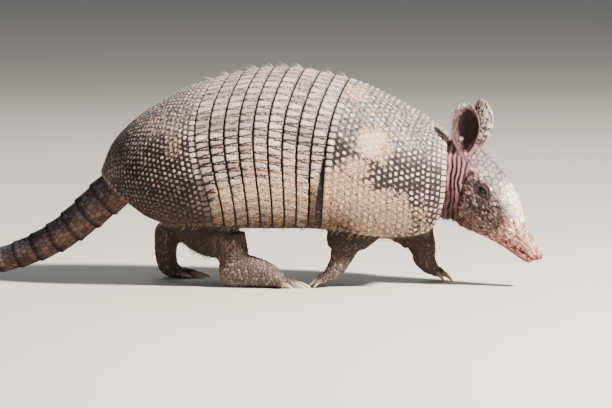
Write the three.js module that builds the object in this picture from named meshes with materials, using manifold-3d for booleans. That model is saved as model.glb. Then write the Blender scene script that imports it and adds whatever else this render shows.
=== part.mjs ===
// A nine-banded armadillo walking with its nose to the ground, life-size, as a still model.
// Millimetres, +Z up. The animal faces +X, its left side is +Y, and the floor is z = 0.
// Shell plates, claws and eyes are separate solids over the solids of flesh.
import * as THREE from 'three';
import { mergeVertices } from 'three/addons/utils/BufferGeometryUtils.js';
import Module from 'manifold-3d';

const wasm = await Module();
wasm.setup();

// ---------------------------------------------------------------- driving dimensions
const GAP = 0.3;               // clearance between pieces that touch
const DEG = Math.PI / 180;

// Cross-sections of the shell's outer surface, from the rump rim to the neck rim:
// [x and z on the back's midline, x and z at the lower edge, half-width]
const SHELL = [
  [-165, 97, -128, 63, 40],
  [-153, 123.5, -114, 58, 53],
  [-129, 147, -97, 53.5, 62],
  [-95, 167.5, -79, 53, 66.5],
  [-64, 179, -61, 53, 68.5],
  [-9, 188.5, -17, 53, 69.5],
  [52, 178.5, 31, 52.5, 67],
  [87, 164, 75, 46, 62],
  [111, 150.5, 108, 46, 56],
  [125, 142, 127, 51, 51],
  [137, 131.5, 140, 60, 45],
];
const PELVIC_BORDER = 4;       // the cross-section where the bands begin
const SHOULDER_BORDER = 6;     // the cross-section where they end
const EDGE_ANGLE = 127 * DEG;  // from the midline round to the lower edge
const WIDEST_LEVEL = 0.39;     // height of the widest point, as a share of the section
const BAND_BOW = [13, 6];      // how far the bands bow back on the flank, rear and front
const BANDS = 9;
const PLATE = 3.2;             // thickness of the shell
const STEP_DOWN = 1.1;         // drop from one plate's rear lip to the next plate
const LIP_FROM = 0.2;          // share of a plate's length where it begins to drop
const PELVIC_CORNER = 9;       // how far the shields' lower corners are rounded off
const SHOULDER_CORNER = 24;
const SHIELD_ROWS = 6;         // facets along each shield
const SHELL_SLICES = 18;       // facets from edge to edge of the shell
const BELLY_SLICES = 4;
const BELLY_DROP = 4;          // belly below the shell's lower edge
const TRUNK_CLEARANCE = [1.4, 4]; // between shell and trunk, at the bands and the neck
const TRUNK_SET_BACK = [4, 16];   // trunk's last full rings behind the shell's two rims
const NECK_HOLE = { x: 129, z: 91, halfWidth: 31, halfHeight: 33 };
const NECK_BULGE = 1.5;        // fullness of the neck, most at a share of its length
const NECK_FULLEST = 0.55;

const TAIL_ROOT = 17.5;        // radii of the tail
const TAIL_TIP = 1.8;
const TAIL_TAPER = 1.2;        // power of the radius along the tail: above 1 is concave
const TAIL_RINGS = 14;
const TAIL_RINGED = 0.7;       // share of the tail that has rings; the tip has none
const TAIL_SHORTENING = 1.15;  // power by which the rings shorten towards the tip
const TAIL_FLARE = [0.95, 1.04];  // a ring's girth at its start and at its lip
const TAIL_END_GIRTH = 0.7;    // girth of the blunt end, as a share of the tip's radius
const TAIL_RING_GAP = 0.0012;  // between lengths of tail, as a share of the whole
const TAIL_SLICES = 10;
const TAIL_PATH = [            // centre line from behind its root down to the floor
  [-173.5, 0, 61], [-204, 1, 39], [-251, 5, 18.6],
];
const TAIL_ON_FLOOR = [[-300, 13, 9], [-351, 26, 5.7], [-402, 43, 3.3], [-449, 64, 1.4]];

const HEAD_NOSE = [221, -19, 26.5];    // top of the nose
const HEAD_PITCH = 45 * DEG;
const HEAD_YAW = -15 * DEG;
// Sections of the head: [distance behind the nose and height of the top, the same of the
// underside, half-width], measured along and across the snout
const HEAD = [
  [0, 0.5, 1.5, -9, 6],
  [8, 3.2, 6, -14, 7.8],
  [20, 5.4, 18, -17.5, 9.2],
  [31, 7.4, 28, -19.5, 11.6],
  [40, 12.2, 36, -21.5, 14.4],
  [51, 17.8, 45, -24.5, 18],
  [65, 22, 54, -28, 21.5],
  [82, 24.6, 63, -32, 24.5],
  [100, 24.8, 71, -35, 25.5],
  [128, 20.5, 80, -37.5, 23.5],
];
const HEAD_LOFT = [0, 4, 12, 22, 33, 42, 54, 68, 84, 104, 128];  // where it gets facets
const HEAD_SLICES = 16;
const HEAD_PLATE = 1.6;        // thickness of the head shield
const HEAD_PLATE_FROM = 34;    // reach of the head shield, behind the nose
const HEAD_PLATE_TO = 107;
const HEAD_PLATE_ANGLE = 58 * DEG;
const HEAD_PLATE_TAPER = [0.12, 0.3];  // share that it narrows by at the snout and the nape
const HEAD_PLATE_SLICES = 6;
const HEAD_PLATE_ROWS = 7;

const EYE_RADIUS = 4;
const EYE_AT = [75.8, 19.6, 5.6];       // behind the nose, out from the midline, height
const EYE_SLICES = [10, 7];

const EAR_LENGTH = 46;
const EAR_HALF_WIDTH = 13;
const EAR_DEPTH = 8;
const EAR_THICK = 2.2;
const EAR_WIDEST = 0.55;               // share of the length where the ear is widest
const EAR_STALK = 0.4;                 // width at the root, as a share of the widest
const EAR_CURL = [118, 72];            // degrees that each side rolls in, root and tip
const EAR_ROWS = 6;
const EAR_SLICES = 8;
const EAR_ROOT = [111, 14.3, 15];      // behind the nose, out from the midline, height
const EAR_BACK_TILT = 39 * DEG;
const EAR_SPLAY = 15 * DEG;
const EAR_FACING = 35 * DEG;           // how far the cup turns forward from sideways

// The legs, as rows of joints: [x, y, z, half-width, half-depth]. A toe is [x of its end,
// offset from the foot's middle line, length of its claw]. clawSlope is 1 where the claws
// point down and forward, and -1 where they point down and back.
const LEGS = {
  hind_right: {
    upper: [[-84, -30, 72, 17, 28], [-70, -34, 56, 17, 27], [-58, -37, 43, 15, 22],
      [-50, -39, 34, 12, 14]],
    lower: [[-50, -38.5, 46, 12, 15], [-48, -38.5, 35, 11, 15], [-45, -38, 26, 10, 13.5],
      [-43, -38, 20, 7, 9]],
    foot: [[-57, -38, 13, 6, 8], [-52, -38, 13.5, 9, 13.5], [-42, -38, 14.5, 10.5, 14.5],
      [-28, -38, 13.5, 11.5, 13.5], [-14, -38, 10, 12, 10.5], [-4, -38, 6, 11, 6.5]],
    toesFrom: [-9, -38, 6],
    toes: [[-2, -11, 9], [6, -6, 11], [9, 0, 12], [6, 6, 11], [-3, 11, 8.5]],
  },
  hind_left: {
    upper: [[-92, 30, 74, 17, 27], [-84, 33, 60, 17, 26], [-80, 36, 48, 15, 22],
      [-80, 37, 37, 12, 15]],
    lower: [[-80, 37, 50, 12, 15], [-92, 38, 45, 11.5, 13.5], [-103, 38, 41, 9.5, 11.5],
      [-110, 38, 36, 7.5, 8.5]],
    foot: [[-108, 38, 48, 5, 6], [-111, 38, 42, 8.5, 11.5], [-113, 38, 30, 9.5, 10.5],
      [-113, 38, 18, 11, 9.5], [-110, 38, 9, 12, 8.5], [-103, 38, 5, 10.5, 5.5]],
    toesFrom: [-110, 38, 6],
    toes: [[-98, -11, 10], [-90, -6, 12], [-87, 0, 13], [-90, 6, 12], [-99, 11, 9.5]],
  },
  fore_right: {
    upper: [[70, -30, 62, 14, 22], [60, -31, 52, 13.5, 20.5], [51, -31, 42, 12.5, 18],
      [47, -31, 32, 10, 13]],
    lower: [[50, -31, 42, 10, 14], [49, -31, 32, 9.5, 11.5], [46, -31, 24, 8.5, 9.5],
      [42, -31, 18, 6, 7]],
    foot: [[50, -31, 27, 5, 6], [46, -31, 22, 9, 8.5], [41, -31, 15, 10.5, 7.5],
      [36, -31, 9.5, 10, 5.5]],
    toesFrom: [39, -31, 12],
    toes: [[31, -9, 11], [28, -3.4, 15], [28, 3.4, 15], [32, 9, 10]],
    clawSlope: -1,
  },
  fore_left: {
    upper: [[90, 28, 66, 14, 24], [97, 29, 54, 13.5, 22], [105, 30, 44, 13, 19],
      [110, 30, 34, 10.5, 14]],
    lower: [[108, 30, 44, 10.5, 15.5], [112, 30, 34, 10, 13], [115, 30, 26, 9.5, 11],
      [117, 30, 19, 7, 8]],
    foot: [[110, 30, 27, 5, 7], [114, 30, 21, 9, 9.5], [119, 30, 14, 10.5, 8],
      [124, 30, 9, 10, 5.5]],
    toesFrom: [120, 30, 11],
    toes: [[127, -9, 10], [131, -3.4, 14], [131, 3.4, 14], [126, 9, 9]],
    clawSlope: 1,
  },
};

const TOE_ROOT_RADIUS = 4;
const TOE_RADIUS = 3.4;
const TOE_SLIMNESS = 0.8;      // width of a toe or claw, as a share of its depth
const TOE_ROOT_SPREAD = 0.7;   // spread of the toes at their roots, as a share of the tips'
const TOE_ARCH = 0.6;
const TOE_LEVEL = 3.2;         // height of a toe's end, flat on the floor or on its claw
const TOE_LEVEL_ON_CLAWS = 6.5;
const CLAW_RADIUS = 2.6;
const CLAW_TIP = 0.7;
const CLAW_TIP_LEVEL = 0.4;
const CLAW_ARCH = 1.1;
const CLAW_SPLAY = 1.1;        // spread of the claws' points, as a share of the toe ends'
const STEEP_CLAW_REACH = 0.62; // distance ahead of a steep claw's point, per its length

// ---------------------------------------------------------------- solids from rows of points
function volumeOf(points, faces) {
  let sum = 0;
  for (const [a, b, c] of faces) {
    sum += points[a].dot(new THREE.Vector3().crossVectors(points[b], points[c]));
  }
  return sum / 6;
}

function solid(points, faces) {
  const outward = volumeOf(points, faces) > 0;
  const geometry = new THREE.BufferGeometry();
  const position = points.flatMap((p) => [p.x, p.y, p.z]);
  geometry.setAttribute('position', new THREE.Float32BufferAttribute(position, 3));
  geometry.setIndex(faces.flatMap(([a, b, c]) => (outward ? [a, b, c] : [a, c, b])));
  return geometry;
}

// A closed solid through a row of rings with equal numbers of points.
function loft(rings) {
  const count = rings[0].length;
  const points = rings.flat();
  const faces = [];
  for (let i = 0; i + 1 < rings.length; i += 1) {
    for (let j = 0; j < count; j += 1) {
      const next = (j + 1) % count;
      const a = i * count + j;
      const b = i * count + next;
      faces.push([a, b, b + count], [a, b + count, a + count]);
    }
  }
  const last = (rings.length - 1) * count;
  for (let j = 1; j + 1 < count; j += 1) {
    faces.push([0, j + 1, j], [last, last + j, last + j + 1]);
  }
  return solid(points, faces);
}

// A closed slab between two grids of points with the same rows and columns.
function slab(outer, inner) {
  const rows = outer.length;
  const columns = outer[0].length;
  const points = [...outer.flat(), ...inner.flat()];
  const below = rows * columns;
  const at = (i, j) => i * columns + j;
  const faces = [];
  for (let i = 0; i + 1 < rows; i += 1) {
    for (let j = 0; j + 1 < columns; j += 1) {
      const [a, b, c, d] = [at(i, j), at(i, j + 1), at(i + 1, j + 1), at(i + 1, j)];
      faces.push([a, b, c], [a, c, d]);
      faces.push([below + a, below + c, below + b], [below + a, below + d, below + c]);
    }
  }
  const wall = (a, b) => faces.push([a, below + a, below + b], [a, below + b, b]);
  for (let j = 0; j + 1 < columns; j += 1) {
    wall(at(0, j), at(0, j + 1));
    wall(at(rows - 1, j + 1), at(rows - 1, j));
  }
  for (let i = 0; i + 1 < rows; i += 1) {
    wall(at(i + 1, 0), at(i, 0));
    wall(at(i, columns - 1), at(i + 1, columns - 1));
  }
  return solid(points, faces);
}

function toManifold(geometry) {
  const bare = geometry.clone();
  bare.deleteAttribute('normal');
  bare.deleteAttribute('uv');
  const merged = mergeVertices(bare, 1e-4);
  return new wasm.Manifold(new wasm.Mesh({
    numProp: 3,
    vertProperties: new Float32Array(merged.attributes.position.array),
    triVerts: new Uint32Array(merged.index.array),
  }));
}

function fromManifold(manifold) {
  const mesh = manifold.getMesh();
  const geometry = new THREE.BufferGeometry();
  geometry.setAttribute('position', new THREE.BufferAttribute(mesh.vertProperties, 3));
  geometry.setIndex(new THREE.BufferAttribute(mesh.triVerts, 1));
  return geometry;
}

function cut(geometry, ...tools) {
  return fromManifold(tools.reduce((rest, tool) => rest.subtract(toManifold(tool)),
    toManifold(geometry)));
}

function join(...pieces) {
  return fromManifold(pieces.slice(1).reduce((sum, piece) => sum.add(toManifold(piece)),
    toManifold(pieces[0])));
}

// Smooth values between rows of numbers, spaced along the shape by their knots.
function between(rows, knots, at) {
  let i = 0;
  while (i < rows.length - 2 && at > knots[i + 1]) i += 1;
  const span = knots[i + 1] - knots[i];
  const t = (at - knots[i]) / span;
  const slope = (k, c) => {
    const lower = Math.max(k - 1, 0);
    const upper = Math.min(k + 1, rows.length - 1);
    return (rows[upper][c] - rows[lower][c]) / (knots[upper] - knots[lower]);
  };
  return rows[0].map((_, c) => {
    const p = rows[i][c];
    const q = rows[i + 1][c];
    const m = slope(i, c) * span;
    const n = slope(i + 1, c) * span;
    return p + t * m + t * t * (3 * (q - p) - 2 * m - n) + t ** 3 * (2 * (p - q) + m + n);
  });
}

const lerp = THREE.MathUtils.lerp;
const steps = (from, to, count) => Array.from({ length: count + 1 },
  (_, i) => lerp(from, to, i / count));

// ---------------------------------------------------------------- the shell's surface
const shellKnots = SHELL.reduce((knots, row, i) => {
  const [x, z, ex, ez] = row;
  const [px, pz, pex, pez] = SHELL[Math.max(i - 1, 0)];
  const middle = Math.hypot((x - px + ex - pex) / 2, (z - pz + ez - pez) / 2);
  return [...knots, i ? knots[i - 1] + middle : 0];
}, []);
const SHELL_LENGTH = shellKnots.at(-1);
const bandsFrom = shellKnots[PELVIC_BORDER];
const bandsTo = shellKnots[SHOULDER_BORDER];

// A point on the shell: along runs from the rump rim, angle from the midline to either
// edge, and depth goes in from the outer surface.
function shellPoint(along, angle, depth) {
  const [tx, tz, ex, ez, halfWidth] = between(SHELL, shellKnots, along);
  const height = Math.hypot(tx - ex, tz - ez);
  const up = [(tx - ex) / height, (tz - ez) / height];
  const low = height * WIDEST_LEVEL;
  const turn = Math.abs(angle);
  const deep = low / Math.sin(EDGE_ANGLE - Math.PI / 2);
  const rise = turn <= Math.PI / 2
    ? (height - low - depth) * Math.cos(turn)
    : (deep - depth) * Math.cos(turn);
  const place = THREE.MathUtils.clamp((along - bandsFrom) / (bandsTo - bandsFrom), 0, 1);
  const fade = Math.min(1, along / bandsFrom, (SHELL_LENGTH - along) / (SHELL_LENGTH - bandsTo));
  const bow = lerp(BAND_BOW[0], BAND_BOW[1], place) * fade
    * Math.sin(Math.PI * Math.min(turn / EDGE_ANGLE, 1)) ** 2;
  return new THREE.Vector3(
    ex + up[0] * (low + rise) - bow,
    (halfWidth - depth) * Math.sin(angle),
    ez + up[1] * (low + rise),
  );
}

// A closed ring round the body: the shell's surface at a depth, and the belly under it.
function bodyRing(along, depth) {
  const ring = steps(-EDGE_ANGLE, EDGE_ANGLE, SHELL_SLICES)
    .map((angle) => shellPoint(along, angle, depth));
  const side = ring.at(-1);
  const edge = shellPoint(along, EDGE_ANGLE, 0);
  const [tx, tz, ex, ez] = between(SHELL, shellKnots, along);
  const height = Math.hypot(tx - ex, tz - ez);
  const drop = BELLY_DROP + Math.min(depth, 0) * -1 + (side.z - edge.z);
  for (const turn of steps(0, Math.PI, BELLY_SLICES).slice(1, -1)) {
    const fall = drop * Math.sin(turn);
    ring.push(new THREE.Vector3(
      side.x - ((tx - ex) / height) * fall,
      side.y * Math.cos(turn),
      side.z - ((tz - ez) / height) * fall,
    ));
  }
  return ring;
}

const shieldRows = (from, to) => steps(from, to, SHIELD_ROWS);
const bandLines = steps(bandsFrom, bandsTo, BANDS);
const bodyLines = [
  ...shieldRows(0, bandsFrom).slice(0, -1),
  ...bandLines,
  ...shieldRows(bandsTo, SHELL_LENGTH).slice(1),
];

// ---------------------------------------------------------------- shell plates
// Corners of the two shields are rounded off by moving their ends in near the edges.
const cornerInset = (angle, reach) => {
  const share = Math.abs(angle) / EDGE_ANGLE;
  return reach * (1 - (1 - share ** 5) ** (1 / 3));
};

function plate(from, to, rows, cornerFrom, cornerTo, frontDrop) {
  const angles = steps(-EDGE_ANGLE, EDGE_ANGLE, SHELL_SLICES);
  const grid = (depth) => steps(0, 1, rows).map((share) => angles.map((angle) => {
    const start = from + cornerInset(angle, cornerFrom);
    const end = to - cornerInset(angle, cornerTo);
    return shellPoint(lerp(start, end, share), angle, depth(share));
  }));
  const outer = (share) => frontDrop * THREE.MathUtils.smoothstep(share, LIP_FROM, 1);
  return slab(grid(outer), grid(() => PLATE));
}

function pelvicShield() {
  return plate(0, bandsFrom - GAP / 2, SHIELD_ROWS, PELVIC_CORNER, 0, STEP_DOWN);
}

function scapularShield() {
  return plate(bandsTo + GAP / 2, SHELL_LENGTH, SHIELD_ROWS, 0, SHOULDER_CORNER, 0);
}

// Band 1 is the one behind the shoulder shield. Each is lowest along its front edge.
function band(number) {
  const line = BANDS - number;
  return plate(bandLines[line] + GAP / 2, bandLines[line + 1] - GAP / 2, 1, 0, 0, STEP_DOWN);
}

// ---------------------------------------------------------------- the head's surface
const headFrame = new THREE.Group();
headFrame.position.set(...HEAD_NOSE);
headFrame.rotation.set(0, HEAD_PITCH, HEAD_YAW, 'ZYX');
headFrame.updateMatrixWorld();

const headKnots = HEAD.map(([back]) => back);

// A point on the head in its own frame: +X out through the nose, +Z to the crown.
function headPoint(back, angle, depth) {
  const [tx, tz, bx, bz, halfWidth] = between(HEAD, headKnots, back);
  const half = Math.hypot(tx - bx, tz - bz) / 2;
  const up = [(tx - bx) / half / 2, (tz - bz) / half / 2];
  const rise = (half - depth) * Math.cos(angle);
  return new THREE.Vector3(
    -((tx + bx) / 2 + up[0] * rise),
    (halfWidth - depth) * Math.sin(angle),
    (tz + bz) / 2 + up[1] * rise,
  );
}

const POCKET_TURN = 0.1;       // radians that the shield's pocket is wider by, per mm of gap
const POCKET_MOUTH = 6;        // gaps that it reaches above the head's surface

function headLoft(grow) {
  return loft(HEAD_LOFT.map((back) => (
    steps(0, 2 * Math.PI, HEAD_SLICES).slice(0, -1).map((angle) => headPoint(back, angle, -grow))
  )));
}

// The plate over the crown and forehead, or with a gap given the pocket that it lies in,
// which is open above.
function headShield(gap) {
  const sweep = HEAD_PLATE_ANGLE + gap * POCKET_TURN;
  const angles = steps(-sweep, sweep, HEAD_PLATE_SLICES);
  const backs = steps(HEAD_PLATE_FROM - gap, HEAD_PLATE_TO + gap, HEAD_PLATE_ROWS);
  const [snoutTaper, napeTaper] = HEAD_PLATE_TAPER;
  const grid = (depth) => backs.map((back) => {
    const ahead = (HEAD_PLATE_TO - back) / (HEAD_PLATE_TO - HEAD_PLATE_FROM);
    const narrow = 1 - snoutTaper * ahead ** 3 - napeTaper * (1 - ahead) ** 3;
    return angles.map((angle) => headPoint(back, angle * narrow, depth));
  });
  return slab(grid(-POCKET_MOUTH * gap), grid(HEAD_PLATE + gap));
}

function eyeball(side, grow) {
  const ball = new THREE.SphereGeometry(EYE_RADIUS + grow, ...EYE_SLICES);
  ball.translate(-EYE_AT[0], side * EYE_AT[1], EYE_AT[2]);
  return ball;
}

// ---------------------------------------------------------------- ears
const TIP_ROUNDING = 0.97;     // under 1, so that the ear's tip keeps a little width

// The ear's width along its length, as a share of the widest.
function earWidth(along) {
  if (along < EAR_WIDEST) {
    return lerp(EAR_STALK, 1, Math.sin((Math.PI / 2) * (along / EAR_WIDEST)));
  }
  return Math.sqrt(1 - TIP_ROUNDING * ((along - EAR_WIDEST) / (1 - EAR_WIDEST)) ** 2);
}

function ear(side) {
  const axis = new THREE.Vector3(
    -Math.sin(EAR_BACK_TILT) * Math.cos(EAR_SPLAY),
    side * Math.sin(EAR_SPLAY),
    Math.cos(EAR_BACK_TILT) * Math.cos(EAR_SPLAY),
  );
  const facing = new THREE.Vector3(Math.sin(EAR_FACING), side * Math.cos(EAR_FACING), 0);
  facing.addScaledVector(axis, -facing.dot(axis)).normalize();
  const across = new THREE.Vector3().crossVectors(axis, facing);
  const root = new THREE.Vector3(-EAR_ROOT[0], side * EAR_ROOT[1], EAR_ROOT[2]);
  const grid = (inset) => steps(0, 1, EAR_ROWS).map((v) => steps(-1, 1, EAR_SLICES).map((w) => {
    const width = EAR_HALF_WIDTH * earWidth(v) - inset / 2;
    const depth = EAR_DEPTH * earWidth(v) - inset / 2;
    const turn = w * lerp(...EAR_CURL, v) * DEG;
    return root.clone()
      .addScaledVector(axis, EAR_LENGTH * v - inset * v ** 8)
      .addScaledVector(across, width * Math.sin(turn))
      .addScaledVector(facing, depth * (1 - Math.cos(turn)) + inset - EAR_DEPTH / 2);
  }));
  return cut(slab(grid(0), grid(EAR_THICK)), headLoft(GAP));
}

// ---------------------------------------------------------------- trunk and neck
const centreOf = (ring) => ring.reduce((sum, p) => sum.add(p), new THREE.Vector3())
  .divideScalar(ring.length);

// The trunk's front end: an upright oval with one point for each point of a body ring.
function neckHoleRing() {
  const { x, z, halfWidth, halfHeight } = NECK_HOLE;
  const base = bodyRing(SHELL_LENGTH, 0);
  const middle = centreOf(base);
  return base.map((p) => {
    const turn = Math.atan2(p.y / halfWidth, (p.z - middle.z) / halfHeight);
    return new THREE.Vector3(x, halfWidth * Math.sin(turn), z + halfHeight * Math.cos(turn));
  });
}

const tailRootRadius = TAIL_ROOT - 1;
const [rumpTop, rumpEdge] = [new THREE.Vector3(SHELL[0][0], 0, SHELL[0][1]),
  new THREE.Vector3(SHELL[0][2], 0, SHELL[0][3])];
const rumpDown = rumpEdge.clone().sub(rumpTop).normalize();
const rumpOut = new THREE.Vector3(rumpDown.z, 0, -rumpDown.x);
const tailRoot = rumpTop.clone().addScaledVector(rumpDown, PLATE + 2 * GAP + tailRootRadius);

// The trunk's rear end: a round that the tail's root meets.
function tailHoleRing() {
  return bodyRing(0, 0).map((p) => {
    const turn = Math.atan2(p.y, -p.clone().sub(tailRoot).dot(rumpDown));
    return tailRoot.clone()
      .addScaledVector(rumpDown, -tailRootRadius * Math.cos(turn))
      .add(new THREE.Vector3(0, tailRootRadius * Math.sin(turn), 0));
  });
}

const trunkClearance = (along) => {
  const ahead = Math.max(0, (along - bandsTo) / (SHELL_LENGTH - bandsTo));
  return lerp(TRUNK_CLEARANCE[0], TRUNK_CLEARANCE[1], ahead);
};

function trunk() {
  const [rear, front] = TRUNK_SET_BACK;
  const within = bodyLines.filter((along) => along > rear && along < SHELL_LENGTH - front);
  return loft([
    tailHoleRing(),
    ...within.map((along) => bodyRing(along, PLATE + trunkClearance(along))),
    neckHoleRing(),
  ]);
}

// The body with its shell on, from outside, for trimming what grows from under it.
function bodyEnvelope() {
  return loft(bodyLines.map((along) => bodyRing(along, -GAP)));
}

function neck() {
  const turns = steps(0, 2 * Math.PI, HEAD_SLICES).slice(0, -1);
  const back = headKnots.at(-1);
  const skull = turns.map((turn) => headPoint(back, turn, 0).applyMatrix4(headFrame.matrix));
  const middle = centreOf(skull);
  const quarter = HEAD_SLICES / 4;
  const forward = new THREE.Vector3().crossVectors(
    skull[quarter].clone().sub(middle), skull[0].clone().sub(middle)).normalize();
  if (forward.x < 0) forward.negate();
  const start = turns.map((turn) => new THREE.Vector3(NECK_HOLE.x + GAP,
    (NECK_HOLE.halfWidth - 1) * Math.sin(turn),
    NECK_HOLE.z + (NECK_HOLE.halfHeight - 1) * Math.cos(turn)));
  const end = skull.map((p) => p.clone().addScaledVector(forward, -GAP));
  const middleRing = start.map((p, i) => p.clone().lerp(end[i], NECK_FULLEST)
    .addScaledVector(p.clone().sub(middle).setX(0).normalize(), NECK_BULGE));
  return loft([start, middleRing, end]);
}

// ---------------------------------------------------------------- tail
const tailCurve = new THREE.CatmullRomCurve3([
  tailRoot.clone().addScaledVector(rumpOut, GAP),
  ...[...TAIL_PATH, ...TAIL_ON_FLOOR].map(([x, y, z]) => new THREE.Vector3(x, y, z)),
]);
const tailRadius = (share) => lerp(TAIL_TIP, TAIL_ROOT, (1 - share) ** TAIL_TAPER);
const SUNK = 0.4;              // depth by which the tail's underside is flattened

function tailRing(share, swell) {
  const radius = tailRadius(share) * swell;
  const centre = tailCurve.getPointAt(share);
  centre.z = Math.max(centre.z, radius - SUNK);
  const ahead = share === 0 ? rumpOut.clone() : tailCurve.getTangentAt(share);
  const side = new THREE.Vector3(-ahead.y, ahead.x, 0).normalize();
  const up = new THREE.Vector3().crossVectors(ahead, side).normalize();
  return steps(0, 2 * Math.PI, TAIL_SLICES).slice(0, -1).map((turn) => {
    const p = centre.clone()
      .addScaledVector(side, radius * Math.sin(turn))
      .addScaledVector(up, -radius * Math.cos(turn));
    p.z = Math.max(p.z, 0);
    return p;
  });
}

// Rings shorten towards the tip; each flares to a lip that stands over the next.
const tailRingEnd = (k) => TAIL_RINGED * (1 - (1 - k / TAIL_RINGS) ** TAIL_SHORTENING);

function tailLength(firstRing, lastRing) {
  const [neck, lip] = TAIL_FLARE;
  const rings = [];
  for (let k = firstRing; k < lastRing; k += 1) {
    const start = tailRingEnd(k) + (k === firstRing && k > 0 ? TAIL_RING_GAP : 0);
    rings.push(tailRing(start, neck), tailRing(tailRingEnd(k + 1) - TAIL_RING_GAP, lip));
  }
  if (lastRing === TAIL_RINGS) {
    rings.push(tailRing(TAIL_RINGED, neck), tailRing(lerp(TAIL_RINGED, 1, 0.5), 1),
      tailRing(1, TAIL_END_GIRTH));
  }
  return loft(rings);
}

// ---------------------------------------------------------------- limbs
// A closed tube through a row of joints, cut off flat at the floor.
const LIMB_SLICES = 9;
const TOE_SLICES = 6;

function limb(joints, slices = LIMB_SLICES, grow = 0) {
  const centres = joints.map(([x, y, z]) => new THREE.Vector3(x, y, z));
  return loft(joints.map(([, , , halfWidth, halfDepth], i) => {
    const ahead = centres[Math.min(i + 1, joints.length - 1)].clone()
      .sub(centres[Math.max(i - 1, 0)]).normalize();
    const side = new THREE.Vector3(0, 1, 0).addScaledVector(ahead, -ahead.y).normalize();
    const front = new THREE.Vector3().crossVectors(side, ahead);
    const outward = (i === joints.length - 1) - (i === 0);
    return steps(0, 2 * Math.PI, slices).slice(0, -1).map((turn) => {
      const p = centres[i].clone()
        .addScaledVector(ahead, grow * outward)
        .addScaledVector(side, (halfWidth + grow) * Math.sin(turn))
        .addScaledVector(front, (halfDepth + grow) * Math.cos(turn));
      p.z = Math.max(p.z, 0);
      return p;
    });
  }));
}

// A toe or claw: a bent cone from one point to another, humped upwards by its arch.
function bentCone(from, to, startRadius, endRadius, arch) {
  const a = new THREE.Vector3(...from);
  const b = new THREE.Vector3(...to);
  return steps(0, 1, 2).map((t) => {
    const p = a.clone().lerp(b, t);
    p.z += arch * 4 * t * (1 - t);
    const radius = lerp(startRadius, endRadius, t);
    return [p.x, p.y, p.z, radius * TOE_SLIMNESS, radius];
  });
}

// Toes spread from toesFrom. The forefeet stand on their claws, which point steeply down.
function digits(leg) {
  const [x, y, z] = leg.toesFrom;
  const onClaws = leg.clawSlope !== undefined;
  const level = onClaws ? TOE_LEVEL_ON_CLAWS : TOE_LEVEL;
  const reach = onClaws ? leg.clawSlope * STEEP_CLAW_REACH : 1;
  const splay = onClaws ? 1 : CLAW_SPLAY;
  return leg.toes.map(([toeX, offset, clawLength]) => ({
    from: [x, y + offset * TOE_ROOT_SPREAD, z],
    tip: [toeX, y + offset, level],
    end: [toeX + reach * clawLength, y + offset * splay, CLAW_TIP_LEVEL],
  }));
}

function foot(leg, grow) {
  const toes = digits(leg).map(({ from, tip }) => limb(
    bentCone(from, tip, TOE_ROOT_RADIUS, TOE_RADIUS, TOE_ARCH), TOE_SLICES, grow));
  return join(limb(leg.foot, LIMB_SLICES, grow), ...toes);
}

function claw(leg, { tip, end }) {
  const horn = limb(bentCone(tip, end, CLAW_RADIUS, CLAW_TIP, CLAW_ARCH), TOE_SLICES);
  return cut(horn, foot(leg, GAP));
}

// ---------------------------------------------------------------- colours
const finish = (color, roughness) => new THREE.MeshStandardMaterial({
  color, roughness, metalness: 0,
});
const FINISHES = {
  shell: () => finish(0x8b7f76, 0.7),
  skin: () => finish(0x6f5c53, 0.8),
  scales: () => finish(0x7c6c62, 0.7),
  ear: () => finish(0x8a6f66, 0.75),
  claw: () => finish(0xb7a27f, 0.45),
  eye: () => finish(0x0d0b0c, 0.08),
};

function named(name, geometry, kind) {
  const mesh = new THREE.Mesh(geometry, FINISHES[kind]());
  mesh.name = name;
  return mesh;
}

// ---------------------------------------------------------------- the animal
const body = new THREE.Group();
body.add(named('trunk', trunk(), 'skin'));
body.add(named('pelvic_shield', pelvicShield(), 'shell'));
for (let number = 1; number <= BANDS; number += 1) {
  body.add(named(`band_${number}`, band(number), 'shell'));
}
body.add(named('scapular_shield', scapularShield(), 'shell'));
body.add(named('neck', neck(), 'skin'));
body.add(named('tail_1', tailLength(0, 3, false), 'scales'));
body.add(named('tail_2', tailLength(3, 6, false), 'scales'));
body.add(named('tail_3', tailLength(6, 10, false), 'scales'));
body.add(named('tail_4', tailLength(10, TAIL_RINGS, true), 'scales'));

const skull = cut(headLoft(0), headShield(GAP), eyeball(1, GAP), eyeball(-1, GAP));
headFrame.add(named('head', skull, 'skin'));
headFrame.add(named('head_shield', headShield(0), 'shell'));
for (const [name, side] of [['left', 1], ['right', -1]]) {
  headFrame.add(named(`eye_${name}`, eyeball(side, 0), 'eye'));
  headFrame.add(named(`ear_${name}`, ear(side), 'ear'));
}
body.add(headFrame);

const envelope = bodyEnvelope();
for (const [name, leg] of Object.entries(LEGS)) {
  const upper = cut(limb(leg.upper), envelope);
  const lower = cut(limb(leg.lower), limb(leg.upper, LIMB_SLICES, GAP), envelope);
  body.add(named(`${name}_upper`, upper, 'skin'));
  body.add(named(`${name}_lower`, lower, 'skin'));
  const paw = cut(foot(leg, 0), limb(leg.lower, LIMB_SLICES, GAP));
  body.add(named(`${name}_foot`, paw, 'scales'));
  digits(leg).forEach((digit, i) => {
    body.add(named(`${name}_claw_${i + 1}`, claw(leg, digit), 'claw'));
  });
}

// The origin is the middle of the animal's box, on the floor.
body.updateMatrixWorld(true);
const box = new THREE.Box3().setFromObject(body, true);
body.position.set(-(box.min.x + box.max.x) / 2, -(box.min.y + box.max.y) / 2, -box.min.z);
const armadillo = new THREE.Group();
armadillo.add(body);

export default armadillo;
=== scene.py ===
"""The looks of a life-size nine-banded armadillo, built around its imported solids.

Shapes are worked out in millimetres, in the frame of the solids: +X is forward, +Y is the
animal's left, +Z is up and the floor is z = 0. Meshes are written in metres.
"""

import math

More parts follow.
